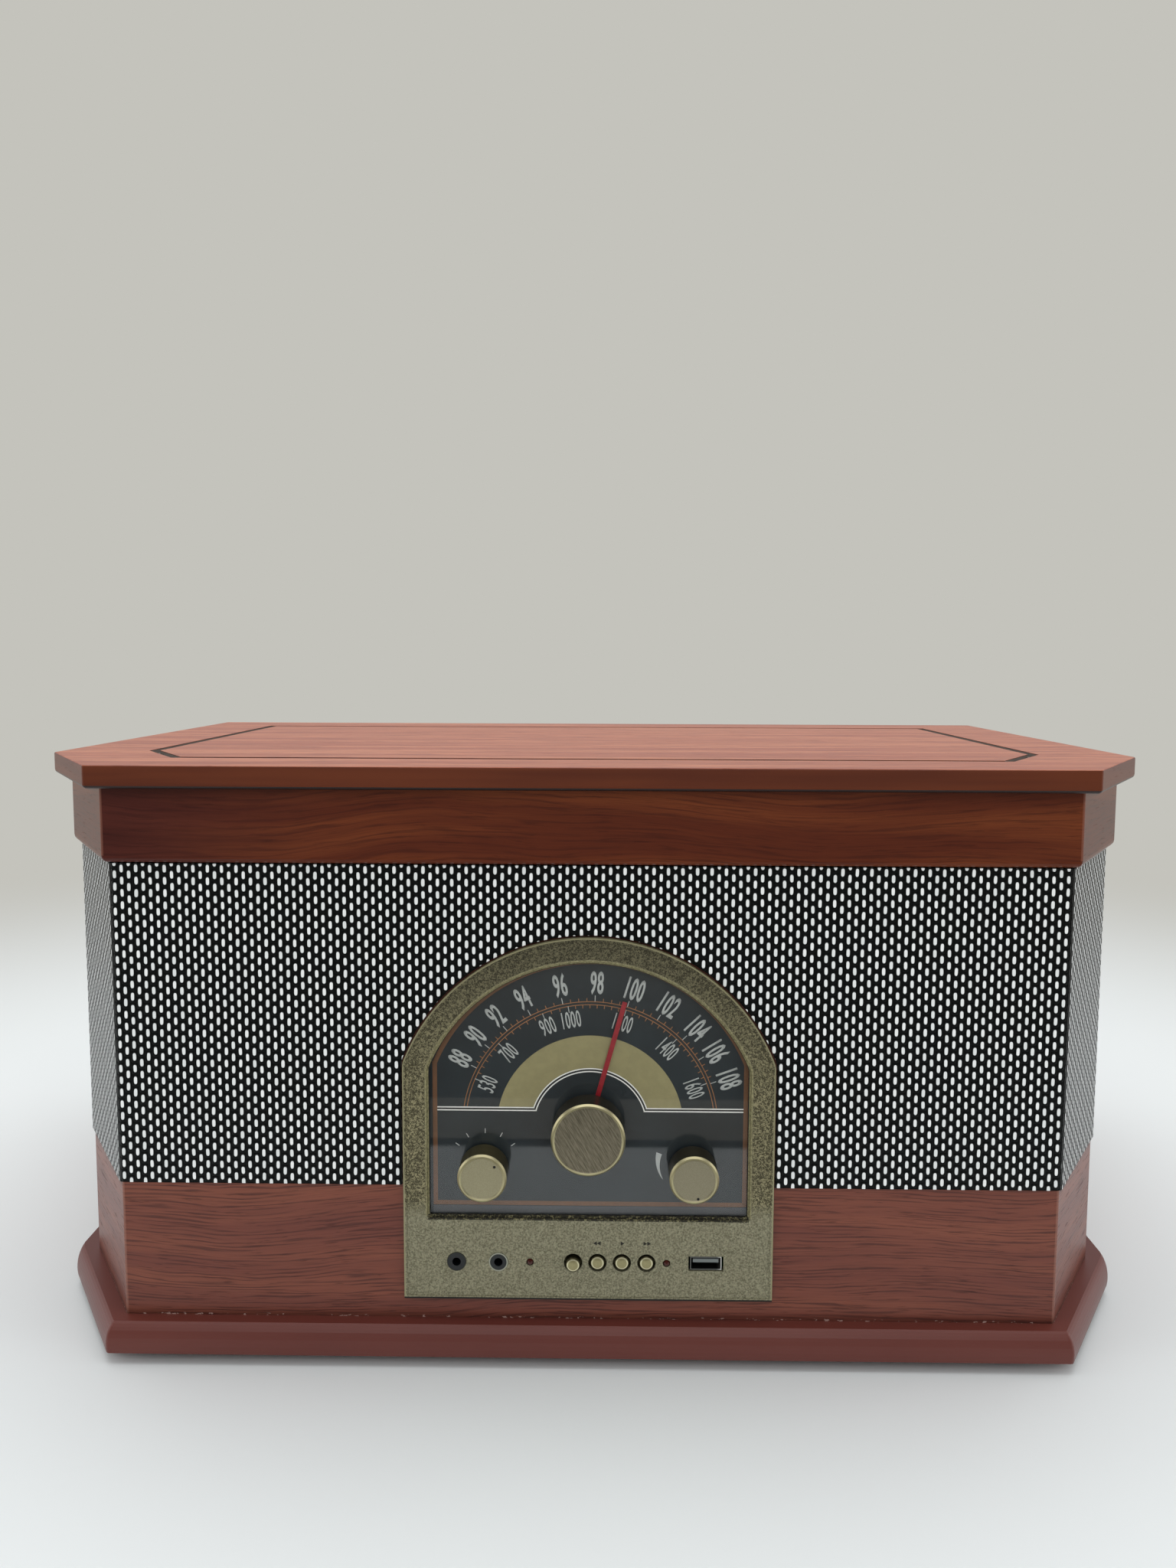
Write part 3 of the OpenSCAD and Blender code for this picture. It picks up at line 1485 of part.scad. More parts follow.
base_board();
rubber_feet();
front_baffle();
corner_panels();
side_panels();
back_panel();
speaker_grille();
deck_plate();
deck_cleats();
control_bezel();
dial_lens();
dial_plate();
dial_housing();
audio_jacks();
usb_socket();
indicator_lamps();
control_board();
function_switch();
volume_control();
tuning_capacitor();
speaker_baskets();
speaker_cones();
speaker_magnets();
main_board();
power_transformer();
mains_inlet();
line_sockets();
spindle();
drive_motor();
drive_belt();
arm_base();
arm_rest();
cabinet_hinge_leaves();
cabinet_screws();
deck_screws();
lid_top();
lid_rails();
lid_hinge_leaves();
lid_pads();
lid_screws();
tuning_knob();
tuning_shaft();
dial_pointer();
selector_knob();
selector_shaft();
volume_knob();
volume_shaft();
usb_button();
previous_button();
play_button();
next_button();
platter();
platter_mat();
motor_pulley();
arm_gimbal();
arm_tube();
headshell();
cartridge();
speed_slider();
autostop_slider();
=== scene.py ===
import math
import bpy
from mathutils import Matrix, Vector


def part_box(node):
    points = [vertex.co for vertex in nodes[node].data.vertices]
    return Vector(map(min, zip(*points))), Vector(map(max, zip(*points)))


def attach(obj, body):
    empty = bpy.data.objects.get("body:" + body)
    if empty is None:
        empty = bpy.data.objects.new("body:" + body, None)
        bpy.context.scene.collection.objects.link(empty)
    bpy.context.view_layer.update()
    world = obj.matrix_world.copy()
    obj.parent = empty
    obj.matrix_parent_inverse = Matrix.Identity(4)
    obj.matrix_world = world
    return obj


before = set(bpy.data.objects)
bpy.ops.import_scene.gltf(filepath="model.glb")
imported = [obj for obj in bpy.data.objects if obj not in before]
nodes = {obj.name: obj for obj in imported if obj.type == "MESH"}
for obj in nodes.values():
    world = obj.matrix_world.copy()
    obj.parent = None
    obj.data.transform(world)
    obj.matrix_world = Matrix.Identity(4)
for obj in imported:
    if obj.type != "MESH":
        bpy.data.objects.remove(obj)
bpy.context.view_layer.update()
lid_low, lid_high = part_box("lid_top")
FRONT = lid_low.y

# Camera: a phone held a little above the lid, half a metre in front of it and level with
# the middle. Its place and tilt come from the edges of the photographed cabinet.
EYE = Vector((0.006535, FRONT - 0.50218, 0.29839))
YAW, PITCH, ROLL = 0.0142, 0.1003, 0.00365
SENSOR, FOCAL_PX, IMAGE_HEIGHT = 36, 1650, 2048
right = Vector((math.cos(YAW), math.sin(YAW), 0))
level = Vector((-math.sin(YAW), math.cos(YAW), 0))
ahead = level * math.cos(PITCH) - Vector((0, 0, math.sin(PITCH)))
above = level * math.sin(PITCH) + Vector((0, 0, math.cos(PITCH)))
tilted_right = right * math.cos(ROLL) + above * math.sin(ROLL)
tilted_up = above * math.cos(ROLL) - right * math.sin(ROLL)
camera_data = bpy.data.cameras.new("camera")
camera_data.sensor_width = SENSOR
camera_data.lens = SENSOR * FOCAL_PX / IMAGE_HEIGHT
camera = bpy.data.objects.new("camera", camera_data)
camera.matrix_world = Matrix.Translation(EYE) @ Matrix(
    (tilted_right, tilted_up, -ahead)).transposed().to_4x4()
bpy.context.scene.collection.objects.link(camera)
bpy.context.scene.camera = camera
bpy.context.scene.view_settings.view_transform = "Standard"


# Floor and light: a white table in a light tent that is open and darker towards the camera,
# with one broad lamp overhead and weak ones in front and at the sides. The classes here build
# every material: Value is a socket in sums, Shading a node tree, and Finish a material.
class Value:
    def __init__(self, shading, socket):
        self.shading = shading
        self.socket = socket

    def calc(self, operation, *others, first=None):
        terms = others + (self,) if first else (self,) + others
        return self.shading.node("ShaderNodeMath", {"operation": operation}, dict(enumerate(terms)))

    def __add__(self, other):
        return self.calc("ADD", other)

    def __sub__(self, other):
        return self.calc("SUBTRACT", other)

    def __rsub__(self, other):
        return self.calc("SUBTRACT", other, first=True)

    def __mul__(self, other):
        return self.calc("MULTIPLY", other)

    def __truediv__(self, other):
        return self.calc("DIVIDE", other)

    def __gt__(self, other):
        return self.calc("GREATER_THAN", other)

    def __lt__(self, other):
        return self.calc("LESS_THAN", other)

    def __abs__(self):
        return self.calc("ABSOLUTE")

    def __pow__(self, other):
        return self.calc("POWER", other)

    __radd__ = __add__
    __rmul__ = __mul__

    def least(self, other):
        return self.calc("MINIMUM", other)

    def most(self, other):
        return self.calc("MAXIMUM", other)

    def whole(self):
        return self.calc("FLOOR")

    def rest(self):
        return self.calc("FRACT")

    def between(self, low, high):
        return self.shading.node("ShaderNodeMapRange", {"interpolation_type": "SMOOTHSTEP"},
                                 {0: self, 1: low, 2: high})

    def pick(self, one, other):
        return self * one + (1 - self) * other


class Shading:
    def __init__(self, tree):
        self.tree = tree

    def node(self, kind, settings=None, sockets=None, output=0):
        made = self.tree.nodes.new(kind)
        for key, value in (settings or {}).items():
            setattr(made, key, value)
        for key, value in (sockets or {}).items():
            self.feed(made.inputs[key], value)
        return Value(self, made.outputs[output])

    def feed(self, target, value):
        if isinstance(value, Value):
            self.tree.links.new(value.socket, target)
        elif target.type == "RGBA":
            target.default_value = (*value, 1)
        else:
            target.default_value = value

    def ray(self, kind):
        return self.node("ShaderNodeLightPath", output="Is " + kind + " Ray")

    def axes(self, output="Object"):
        point = self.node("ShaderNodeTexCoord", output=output)
        return [self.node("ShaderNodeSeparateXYZ", {}, {0: point}, axis) for axis in range(3)]

    def join(self, x, y, z):
        return self.node("ShaderNodeCombineXYZ", {}, {0: x, 1: y, 2: z})

    def noise(self, point, scale=1.0, detail=2.0, rough=0.5, bend=0.0):
        return self.node("ShaderNodeTexNoise", {}, {"Vector": point, "Scale": scale, "Detail": detail,
                                                    "Roughness": rough, "Distortion": bend})

    def mix(self, share, one, other):
        return self.node("ShaderNodeMix", {"data_type": "RGBA"}, {0: share, 6: one, 7: other}, 2)

    def bump(self, height, depth, strength=1.0):
        return self.node("ShaderNodeBump", {}, {"Height": height, "Distance": depth,
                                                "Strength": strength})


class Finish(Shading):
    def __init__(self, name, **look):
        self.material = bpy.data.materials.new(name)
        self.material.use_nodes = True
        super().__init__(self.material.node_tree)
        self.shader = self.tree.nodes["Principled BSDF"]
        self.set(**look)

    def set(self, **look):
        for key, value in look.items():
            self.feed(self.shader.inputs[key.replace("_", " ")], value)

    def place(self):
        return self.node("ShaderNodeTexCoord", output="Object")

    def blend(self, share, other):
        """Mix the surface with another shader."""
        both = self.node("ShaderNodeMixShader", {},
                         {0: share, 1: Value(self, self.shader.outputs[0]), 2: other})
        self.tree.links.new(both.socket, self.tree.nodes["Material Output"].inputs["Surface"])

    def on(self, *objects):
        for thing in objects:
            thing.data.materials.clear()
            thing.data.materials.append(self.material)


def srgb(red, green, blue):
    return tuple(((c / 255 + 0.055) / 1.055) ** 2.4 if c > 10 else c / 3295 for c in (red, green, blue))


# Seen only in reflections, the table is painted dark beyond a line in front of the object, with
# one paler strip on the dark: a painted reflection of the darker room in front. Far from the
# object the table fades into the tent's wall.
TENT_WALL = srgb(196, 195, 188)
TABLE_SIZE = 14
EDGE_Y, EDGE_SOFT = FRONT - 0.222, 0.004
STRIP_NEAR, STRIP_FAR = EDGE_Y - 0.013, EDGE_Y - 0.085
FADE_FROM, FADE_TO = 0.36, 1.3
AMBIENT = 0.72
bpy.ops.object.select_all(action="DESELECT")
bpy.ops.mesh.primitive_plane_add(size=1, location=(0, 0, 0))
table = bpy.context.object
table.name = "table"
bpy.ops.object.mode_set(mode="EDIT")
bpy.ops.transform.resize(value=(TABLE_SIZE, TABLE_SIZE, 1))
bpy.ops.object.mode_set(mode="OBJECT")
table_white = Finish("table_white", Roughness=0.5, Specular_IOR_Level=0.3)
x, y, z = table_white.axes()
# Painted reflection: glossy rays see the table dark in front of the line, with one paler strip.
dark_in_reflections = table_white.ray("Glossy") * y.between(EDGE_Y + EDGE_SOFT, EDGE_Y - EDGE_SOFT)
pale_strip_in_reflections = (y > STRIP_FAR) * (y < STRIP_NEAR)
reflected_tone = table_white.mix(pale_strip_in_reflections, srgb(36, 36, 36), srgb(142, 136, 126))
table_white.set(Base_Color=table_white.mix(dark_in_reflections, srgb(229, 233, 233), reflected_tone))
away = (x ** 2 + y ** 2) ** 0.5
table_white.blend(away.between(FADE_FROM, FADE_TO),
                  table_white.node("ShaderNodeEmission", {}, {0: TENT_WALL}))
table_white.on(table)

world = bpy.data.worlds.new("tent")
bpy.context.scene.world = world
world.use_nodes = True
tent = Shading(world.node_tree)
shown = tent.ray("Camera").most(tent.ray("Transmission"))
x, y, z = tent.axes("Generated")
walls = y.between(-0.7, 0.3) * 0.5 + 0.1
roof = z.between(0.45, 0.9) * 0.85
surround = world.node_tree.nodes["Background"]
tent.feed(surround.inputs["Color"], tent.mix(shown, srgb(240, 241, 242), TENT_WALL))
tent.feed(surround.inputs["Strength"], shown.pick(1, tent.ray("Glossy").pick(walls.most(roof), AMBIENT)))


def lamp(name, place, target, size, power):
    data = bpy.data.lights.new(name, "AREA")
    data.shape = "RECTANGLE"
    data.size, data.size_y = size
    data.energy = power
    item = bpy.data.objects.new(name, data)
    item.location = place
    item.rotation_euler = (Vector(target) - Vector(place)).to_track_quat("-Z", "Y").to_euler()
    bpy.context.scene.collection.objects.link(item)


lamp("overhead", (0, 0.1, 1.4), (0, 0, 0.1), (1.6, 1.2), 11.6)
lamp("front_fill", (0, -1.6, 1.1), (0, 0, 0.12), (1.6, 0.7), 4.8)
for side in (-1, 1):
    lamp("side_wall", (side * 1.4, -0.1, 0.5), (0, 0, 0.12), (0.9, 0.9), 3.5)


# Cabinet boards: 9 mm board with a reddish veneer under satin lacquer, mitred at the corners
# and glued. The grain runs along each board in long wavy streaks with short dark pores. The
# colour is lighter along the rounded upright edges, dust lies at the foot, and the last few
# millimetres above the foot are painted darker as shade.
CANT_X, CANT_Y, CORNER_D = 0.5125, 0.8587, 0.0687
FACING_SIDE, FACING_CANT, FACING_UP = 0.93, 0.5, 0.7
PORE_DARK, RIPPLE = 0.45, 0.0014
DUST_LOW, DUST_HIGH, SHADE_HIGH = 0.0005, 0.0013, 0.004


def run_and_rise(finish):
    """Return how far round and how high a point is, and where the face is flat or on a rounded upright
    edge.
    """
    x, y, z = finish.axes()
    side, _, up = [abs(part) for part in finish.axes("Normal")]
    on_side = side > FACING_SIDE
    on_cant = (side > FACING_CANT) - on_side
    flat = (side < FACING_CANT) * (up > FACING_UP)
    front_edge = (side > 0.1) * (side < 0.82)
    rear_edge = (side > 0.87) * (side < 0.9985)
    run = on_side.pick(y, on_cant.pick(abs(x) * CANT_X + y * CANT_Y, x))
    return run, flat.pick(y, z), flat, (front_edge + rear_edge) * (up < 0.1)


def grain(wood, run, rise, tones, pitch, strength, shift, wander=0.03):
    """Return the veneer's colour, its height and its pores, with growth lines `pitch` apart."""
    dark, mid, light = tones
    wave = wood.noise(wood.join(run * 6 + shift, rise * 11, 0.0), 1.0, 1.0)
    ripple = wood.noise(wood.join(run * 48, rise * 60 + shift, 1.3), 1.0, 1.0)
    bent = rise + wave * wander + ripple * RIPPLE
    bands = wood.noise(wood.join(run * 4 + shift, bent * 75, shift), 1.0, 2.0, 0.5)
    sway = wood.noise(wood.join(run * 26, bent * 340, shift), 1.0, 2.0, 0.6)
    line = abs((bent / pitch + sway * 2.2).rest() - 0.5) * 2
    broken = wood.noise(wood.join(run * 30, bent * 420, 5.2), 1.0, 2.0, 0.5).between(0.36, 0.6)
    fibres = wood.noise(wood.join(run * 40, bent * 2300, shift), 1.0, 2.0, 0.6)
    dashes = wood.noise(wood.join(run * 80, bent * 1300, 3.7), 1.0, 2.0, 0.55, 0.3)
    line = line.between(0.35, 0.95) * broken * strength
    colour = wood.mix(line, wood.mix(bands.between(0.34, 0.66), mid, light), dark)
    colour = wood.mix(fibres.between(0.3, 0.8) * 0.3, colour, dark)
    pore = dashes.between(0.6, 0.7) * strength
    colour = wood.mix(pore * 0.6, colour, tuple(c * PORE_DARK for c in dark))
    return colour, 0.5 - pore * 0.5 + fibres * 0.2 - line * 0.2, pore


body_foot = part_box("front_baffle")[0].z
body = Finish("body_veneer", Specular_IOR_Level=0.35)
run, rise, flat, upright_edges = run_and_rise(body)
colour, height, pore = grain(body, run, rise, (srgb(74, 36, 29), srgb(115, 61, 49), srgb(132, 74, 56)),
                             0.0017, 0.78, 0.0)
colour = body.mix(upright_edges * 0.4, colour, srgb(152, 106, 90))
foot = body.axes()[2] - body_foot
flecks = body.noise(body.join(run * 420, rise * 700, 9.1), 1.0, 2.0, 0.6).between(0.6, 0.66)
dust = flecks * foot.between(DUST_HIGH, DUST_LOW) * 0.55
# Painted shade: the boards darken towards the foot, under the dust flecks.
colour = body.mix(dust, body.mix(foot.between(SHADE_HIGH, 0.0) * 0.45, colour, srgb(40, 18, 16)),
                  srgb(196, 168, 158))
body.set(Base_Color=colour, Roughness=0.36 + pore * 0.2, Normal=body.bump(height, 0.00012, 0.6))
body.on(nodes["front_baffle"], nodes["corner_panels"], nodes["side_panels"], nodes["back_panel"])


# Lid: a thick board with a routed groove, its edges sealed in plain brown, and a mitred frame
# glued under it. The groove is dark inside, and the frame's veneer is darker than the top's.
rail = Finish("rail_veneer", Specular_IOR_Level=0.16)
run, rise, flat, upright_edges = run_and_rise(rail)
warm, height, pore = grain(rail, run, rise, (srgb(58, 22, 14), srgb(92, 39, 20), srgb(124, 62, 31)),
                           0.0028, 0.5, 4.2)
cool, height, pore = grain(rail, run, rise, (srgb(50, 19, 16), srgb(70, 29, 23), srgb(84, 37, 29)),
                           0.0022, 0.42, 6.9)
colour = rail.mix(run.between(-0.08, -0.2), warm, cool)
rail.set(Base_Color=rail.mix(upright_edges * 0.4, colour, srgb(140, 92, 76)), Roughness=0.3 + pore * 0.15,
         Normal=rail.bump(height, 0.00006, 0.5))
rail.on(nodes["lid_rails"])

FRAME_LINE = 0.0125
UNDER_SKIN, TOP_SKIN = 0.001, 0.0003
top = Finish("top_veneer", Specular_IOR_Level=0.3)
run, rise, flat, upright_edges = run_and_rise(top)
colour, height, pore = grain(top, run, rise, (srgb(118, 54, 36), srgb(163, 87, 57), srgb(192, 118, 82)),
                             0.0032, 0.85, 8.1, 0.012)
x, y, z = top.axes()
from_cant = (lid_high.x - abs(x)) * CANT_Y + (y - FRONT - CORNER_D) * CANT_X
from_edge = (lid_high.x - abs(x)).least(y - FRONT).least(lid_high.y - y)
inside = from_edge.least(from_cant) > FRAME_LINE
# Painted shadow: the underside of the overhang outside the frame line is near black; inside it the
# underside is a darker brown veneer.
under = top.mix(inside, srgb(34, 16, 12), top.mix(0.6, colour, srgb(84, 40, 28)))
edge = top.mix(top.axes("Normal")[2] > -0.2, under,
               top.mix(top.noise(top.join(x * 9, y * 9, z * 160), 1.0, 2.0).between(0.3, 0.7),
                       srgb(88, 36, 14), srgb(103, 46, 19)))
colour = top.mix(top.axes("Normal")[2] > FACING_UP, edge, colour)
in_groove = inside * (z > lid_low.z + UNDER_SKIN) * (z < lid_high.z - TOP_SKIN)
colour = top.mix(in_groove, colour, srgb(112, 104, 98))
top.set(Base_Color=colour, Roughness=0.36 + pore * 0.1, Normal=top.bump(height * flat, 0.00006, 0.5))
top.on(nodes["lid_top"])


# Base: a board with a moulded edge, routed in one piece under the cabinet. It is painted the
# colour of the veneer and rubbed to a satin gloss.
paint = Finish("base_paint", Specular_IOR_Level=0.4)
speckle = paint.noise(paint.place(), 900, 3)
cloud = paint.noise(paint.place(), 14, 3)
paint.set(Base_Color=paint.mix(cloud, srgb(95, 45, 38), srgb(108, 54, 45)),
          Roughness=0.34 + speckle * 0.06, Normal=paint.bump(speckle, 0.00002, 0.3))
paint.on(nodes["base_board"])


# Grille: a glossy black net woven over white cloth, stretched on a thin frame round the front
# and both canted corners. The white shows as upright ovals, staggered from row to row.
COLUMN, ROW = 0.00297, 0.00515
OVAL_W, OVAL_H, CANT_SQUEEZE = 0.00153, 0.00335, 0.3
net = Finish("grille_net", Specular_IOR_Level=0.15)
run, rise, flat, upright_edges = run_and_rise(net)
drift = net.noise(net.join(run * 130, rise * 110, 0.0), 1.0, 1.0)
column = run / COLUMN + 0.5 + drift * 0.16
odd = net.node("ShaderNodeMath", {"operation": "FLOORED_MODULO"}, {0: column.whole(), 1: 2.0})
row = rise / ROW + odd * 0.5 + drift * 0.12
cell = net.node("ShaderNodeTexWhiteNoise", {"noise_dimensions": "2D"},
                {"Vector": net.join(column.whole(), row.whole(), 0.0)})
on_cant = abs(net.axes("Normal")[0]) > FACING_CANT
across = abs(column.rest() - 0.5) * (2 * COLUMN / OVAL_W) * (on_cant * CANT_SQUEEZE + 1)
along = abs(row.rest() - 0.5) * (2 * ROW / OVAL_H)
rim = (across + cell * 0.06) ** 2.4 + along ** 3.6
white = 1 - rim.between(0.86, 1.04)
thread = net.noise(net.join(run * 3000, rise * 500, 0.0), 1.0, 2.0)
# The white greys towards each oval's rim as painted shade; the cells vary in tone at random.
cloth_and_rim_shade = net.mix(rim.between(0.35, 1.1), net.mix(cell, srgb(232, 235, 234), srgb(250, 251, 250)),
                     srgb(186, 191, 191))
height = rim.between(0.6, 2.2) - rim.between(2.4, 7.0) * 0.6 + thread * 0.12
net.set(Base_Color=net.mix(white, srgb(4, 6, 6), cloth_and_rim_shade), Roughness=white.pick(0.85, 0.3),
        Normal=net.bump(height * (1 - white), 0.0004, 0.7))
net.on(nodes["speaker_grille"])


# Radio panel: one plastic moulding, plated in antique gold. Its arched border is pebbled like
# leather, the strip of controls is sanded, and the rim and the lip round the window are bright.
def middle(node):
    low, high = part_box(node)
    return (low.x + high.x) / 2, (low.z + high.z) / 2


dial_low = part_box("dial_plate")[0]
panel_low, panel_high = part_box("control_bezel")
TUNING_Z = middle("tuning_shaft")[1]
ARCH_DROP, WINDOW_LIFT = 0.0013, 0.0009
ARCH_Z = TUNING_Z - ARCH_DROP
WINDOW_Z = dial_low.z + WINDOW_LIFT
PANEL_HALF, ARCH_R = panel_high.x, panel_high.z - ARCH_Z
RIM_W, FOOT_SHADE_H = 0.0006, 0.0007
LIP_FROM, LIP_FULL, GAP_SHADE_FROM = 0.009, 0.0097, 0.0108
LEDGE_DROP, LEDGE_HALF, HAIRLINE = 0.0018, 0.0675, 0.0002
BORDER_FROM, BORDER_FULL = WINDOW_Z - 0.002, WINDOW_Z + 0.008
gold = Finish("antique_gold", Metallic=0.35)
x, y, z = gold.axes()
radius = (x ** 2 + (z - ARCH_Z).most(0) ** 2) ** 0.5
deep = (PANEL_HALF - abs(x)).least(ARCH_R - radius).least(z - panel_low.z)
rim = deep < RIM_W
lip = deep.between(LIP_FROM, LIP_FULL) * (z > WINDOW_Z - HAIRLINE)
gap_shade = (deep > GAP_SHADE_FROM) * (z > WINDOW_Z)
ledge = (z > WINDOW_Z - LEDGE_DROP) * (z < WINDOW_Z + HAIRLINE) * (abs(x) < LEDGE_HALF)
border = z.between(BORDER_FROM, BORDER_FULL) * (1 - lip)
worms = gold.noise(gold.place(), 1250, 1.0, 0.5, 1.2).between(0.41, 0.59)
sand = gold.noise(gold.place(), 1300, 3, 0.7).between(0.32, 0.68)
mottle = gold.noise(gold.place(), 260, 2, 0.6).between(0.3, 0.7)
glint_specks = gold.noise(gold.place(), 1100, 2, 0.5, 1.0).between(0.54, 0.6)
strip = gold.mix(sand, gold.mix(mottle, srgb(104, 101, 78), srgb(118, 114, 90)), srgb(166, 162, 134))
leather = gold.mix(worms, srgb(76, 71, 49), srgb(154, 147, 112))
# Painted shade: the pebbled border darkens towards the top of the arch.
leather = gold.mix(z.between(ARCH_Z + 0.01, panel_high.z) * 0.5, leather, srgb(40, 38, 28))
tone = gold.mix(border, strip, leather)
tone = gold.mix(lip * (1 - gap_shade), tone, gold.mix(sand, srgb(118, 112, 80), srgb(164, 158, 118)))
tone = gold.mix(rim, tone, srgb(150, 145, 112))
# Painted shadow: a dark line along the panel's bottom edge.
tone = gold.mix(z < panel_low.z + FOOT_SHADE_H, tone, srgb(30, 27, 20))
# Painted shade and glints: the ledge under the window is dark, with small bright specks as painted
# highlights.
tone = gold.mix(ledge, tone, gold.mix(glint_specks, srgb(42, 40, 29), srgb(140, 134, 98)))
# Painted shade: the inner wall of the window opening is near black.
tone = gold.mix(gap_shade, tone, srgb(40, 36, 26))
gold.set(Base_Color=tone, Roughness=0.44 - rim * 0.12,
         Normal=gold.bump(border.pick(worms, sand * 0.6) * (1 - rim), 0.0003, 0.9))
gold.on(nodes["control_bezel"])


# Window: a flat sheet of clear acrylic, cut to the arch and held in the panel from behind.
# It lets light through to the dial, so its shadow falls as clear as the sheet.
lens = Finish("clear_acrylic", Base_Color=(0.95, 0.96, 0.97), Roughness=0.0, IOR=1.45,
              Transmission_Weight=1.0)
lens.blend(lens.ray("Shadow").most(lens.ray("Diffuse")), lens.node("ShaderNodeBsdfTransparent"))
lens.on(nodes["dial_lens"])


# Dial: a sheet printed dark blue-grey, with numbers, scales and bands in front of it. Every
# print is a thin skin of its own colour, but for the grey strip along the foot of the window,
# which is a painted reflection of the window's lower edge.
def plain(name, colour, rough, metal=0.0, fine=600, depth=0.00003, spread=0.12):
    skin = Finish(name, Metallic=metal)
    mottle = skin.noise(skin.place(), fine, 3, 0.6)
    dark = tuple(c * (1 - spread) for c in colour)
    light = tuple(min(1, c * (1 + spread)) for c in colour)
    skin.set(Base_Color=skin.mix(mottle.between(0.3, 0.7), dark, light), Roughness=rough + mottle * 0.08,
             Normal=skin.bump(mottle, depth, 0.4))
    return skin


plain("dial_slate", srgb(21, 32, 36), 0.5, 0.0, 30, 0.0, 0.25).on(nodes["dial_plate"])
DIAL_Y = dial_low.y
PRINT_X, PRINT_Z = 0.0006, TUNING_Z
INK, ABOVE = 0.00003, 0.00005
RING_SIDES = 180
CAP_SHARE, NARROW, SPACING, CURVE_STEPS = 0.7, 0.4, 1.1, 3
band_y = DIAL_Y - ABOVE
line_y = DIAL_Y - 2 * ABOVE
FM_NUMBERS = {88: -62.5, 90: -51.7, 92: -40.4, 94: -27.7, 96: -12.4, 98: 2, 100: 16.6, 102: 31.2,
              104: 45.6, 106: 57.3, 108: 69.4}
AM_NUMBERS = {530: -67.3, 700: -47.3, 900: -22.5, 1000: -10.3, 1200: 16.5, 1400: 43.5, 1600: 68.7}


def only(*things):
    bpy.ops.object.select_all(action="DESELECT")
    for thing in things:
        thing.select_set(True)
    bpy.context.view_layer.objects.active = things[0]


def flat_bar(x0, x1, z0, z1, y):
    bpy.ops.mesh.primitive_plane_add(size=1, rotation=(math.pi / 2, 0, 0),
                                     location=((x0 + x1) / 2, y, (z0 + z1) / 2))
    bpy.ops.object.transform_apply()
    bpy.ops.object.mode_set(mode="EDIT")
    bpy.ops.transform.resize(value=(x1 - x0, 1, z1 - z0),
                             center_override=((x0 + x1) / 2, y, (z0 + z1) / 2))
    bpy.ops.object.mode_set(mode="OBJECT")
    return bpy.context.object


def flat_ring(inner, outer, y, foot, x=PRINT_X, z=PRINT_Z):
    bpy.ops.mesh.primitive_circle_add(vertices=RING_SIDES, radius=outer, fill_type="NGON",
                                      location=(x, y, z), rotation=(math.pi / 2, 0, 0))
    bpy.ops.object.transform_apply()
    bpy.ops.object.mode_set(mode="EDIT")
    bpy.ops.mesh.inset(thickness=outer - inner, depth=0)
    bpy.ops.mesh.delete(type="FACE")
    bpy.ops.mesh.select_all(action="SELECT")
    bpy.ops.mesh.bisect(plane_co=(0, y, foot), plane_no=(0, 0, 1), clear_inner=True)
    bpy.ops.object.mode_set(mode="OBJECT")
    return bpy.context.object


def clockwise(degrees, x=PRINT_X, z=PRINT_Z):
    axis = Matrix.Translation((x, 0, z))
    return axis @ Matrix.Rotation(math.radians(degrees), 4, "Y") @ axis.inverted()


def turned_copy(piece, degrees, x=PRINT_X, z=PRINT_Z):
    twin = piece.copy()
    twin.data = piece.data.copy()
    twin.data.transform(clockwise(degrees, x, z))
    bpy.context.scene.collection.objects.link(twin)
    return twin


def ticks(inner, outer, width, y, angles, x=PRINT_X, z=PRINT_Z):
    first = flat_bar(x - width / 2, x + width / 2, z + inner, z + outer, y)
    made = [turned_copy(first, angle, x, z) for angle in angles]
    bpy.data.objects.remove(first)
    return made


def minor_angles(angles, count):
    steps = []
    for left, right in zip(angles, angles[1:]):
        steps += [left + (right - left) * k / (count + 1) for k in range(1, count + 1)]
    return steps


def number(text, height, weight, degrees, radius):
    bpy.ops.object.text_add(rotation=(math.pi / 2, 0, 0))
    letters = bpy.context.object
    letters.data.body = str(text)
    letters.data.align_x = "CENTER"
    letters.data.align_y = "CENTER"
    letters.data.size = height / CAP_SHARE
    letters.data.resolution_u = CURVE_STEPS
    letters.data.space_character = SPACING
    bpy.ops.object.convert(target="CURVE")
    letters = bpy.context.object
    letters.data.transform(Matrix.Diagonal((NARROW, 1, 1, 1)))
    letters.data.offset = height * weight
    bpy.ops.object.convert(target="MESH")
    letters = bpy.context.object
    bpy.ops.object.transform_apply()
    letters.data.transform(Matrix.Translation((PRINT_X, line_y, PRINT_Z + radius)))
    letters.data.transform(clockwise(degrees))
    return letters


def printed(name, parts, finish):
    only(*parts)
    if len(parts) > 1:
        bpy.ops.object.join()
    sheet = bpy.context.object
    sheet.name = sheet.data.name = name
    body = sheet.modifiers.new("thickness", "SOLIDIFY")
    body.thickness = INK
    bpy.ops.object.modifier_apply(modifier="thickness")
    finish.on(sheet)
    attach(sheet, "cabinet")
    return sheet


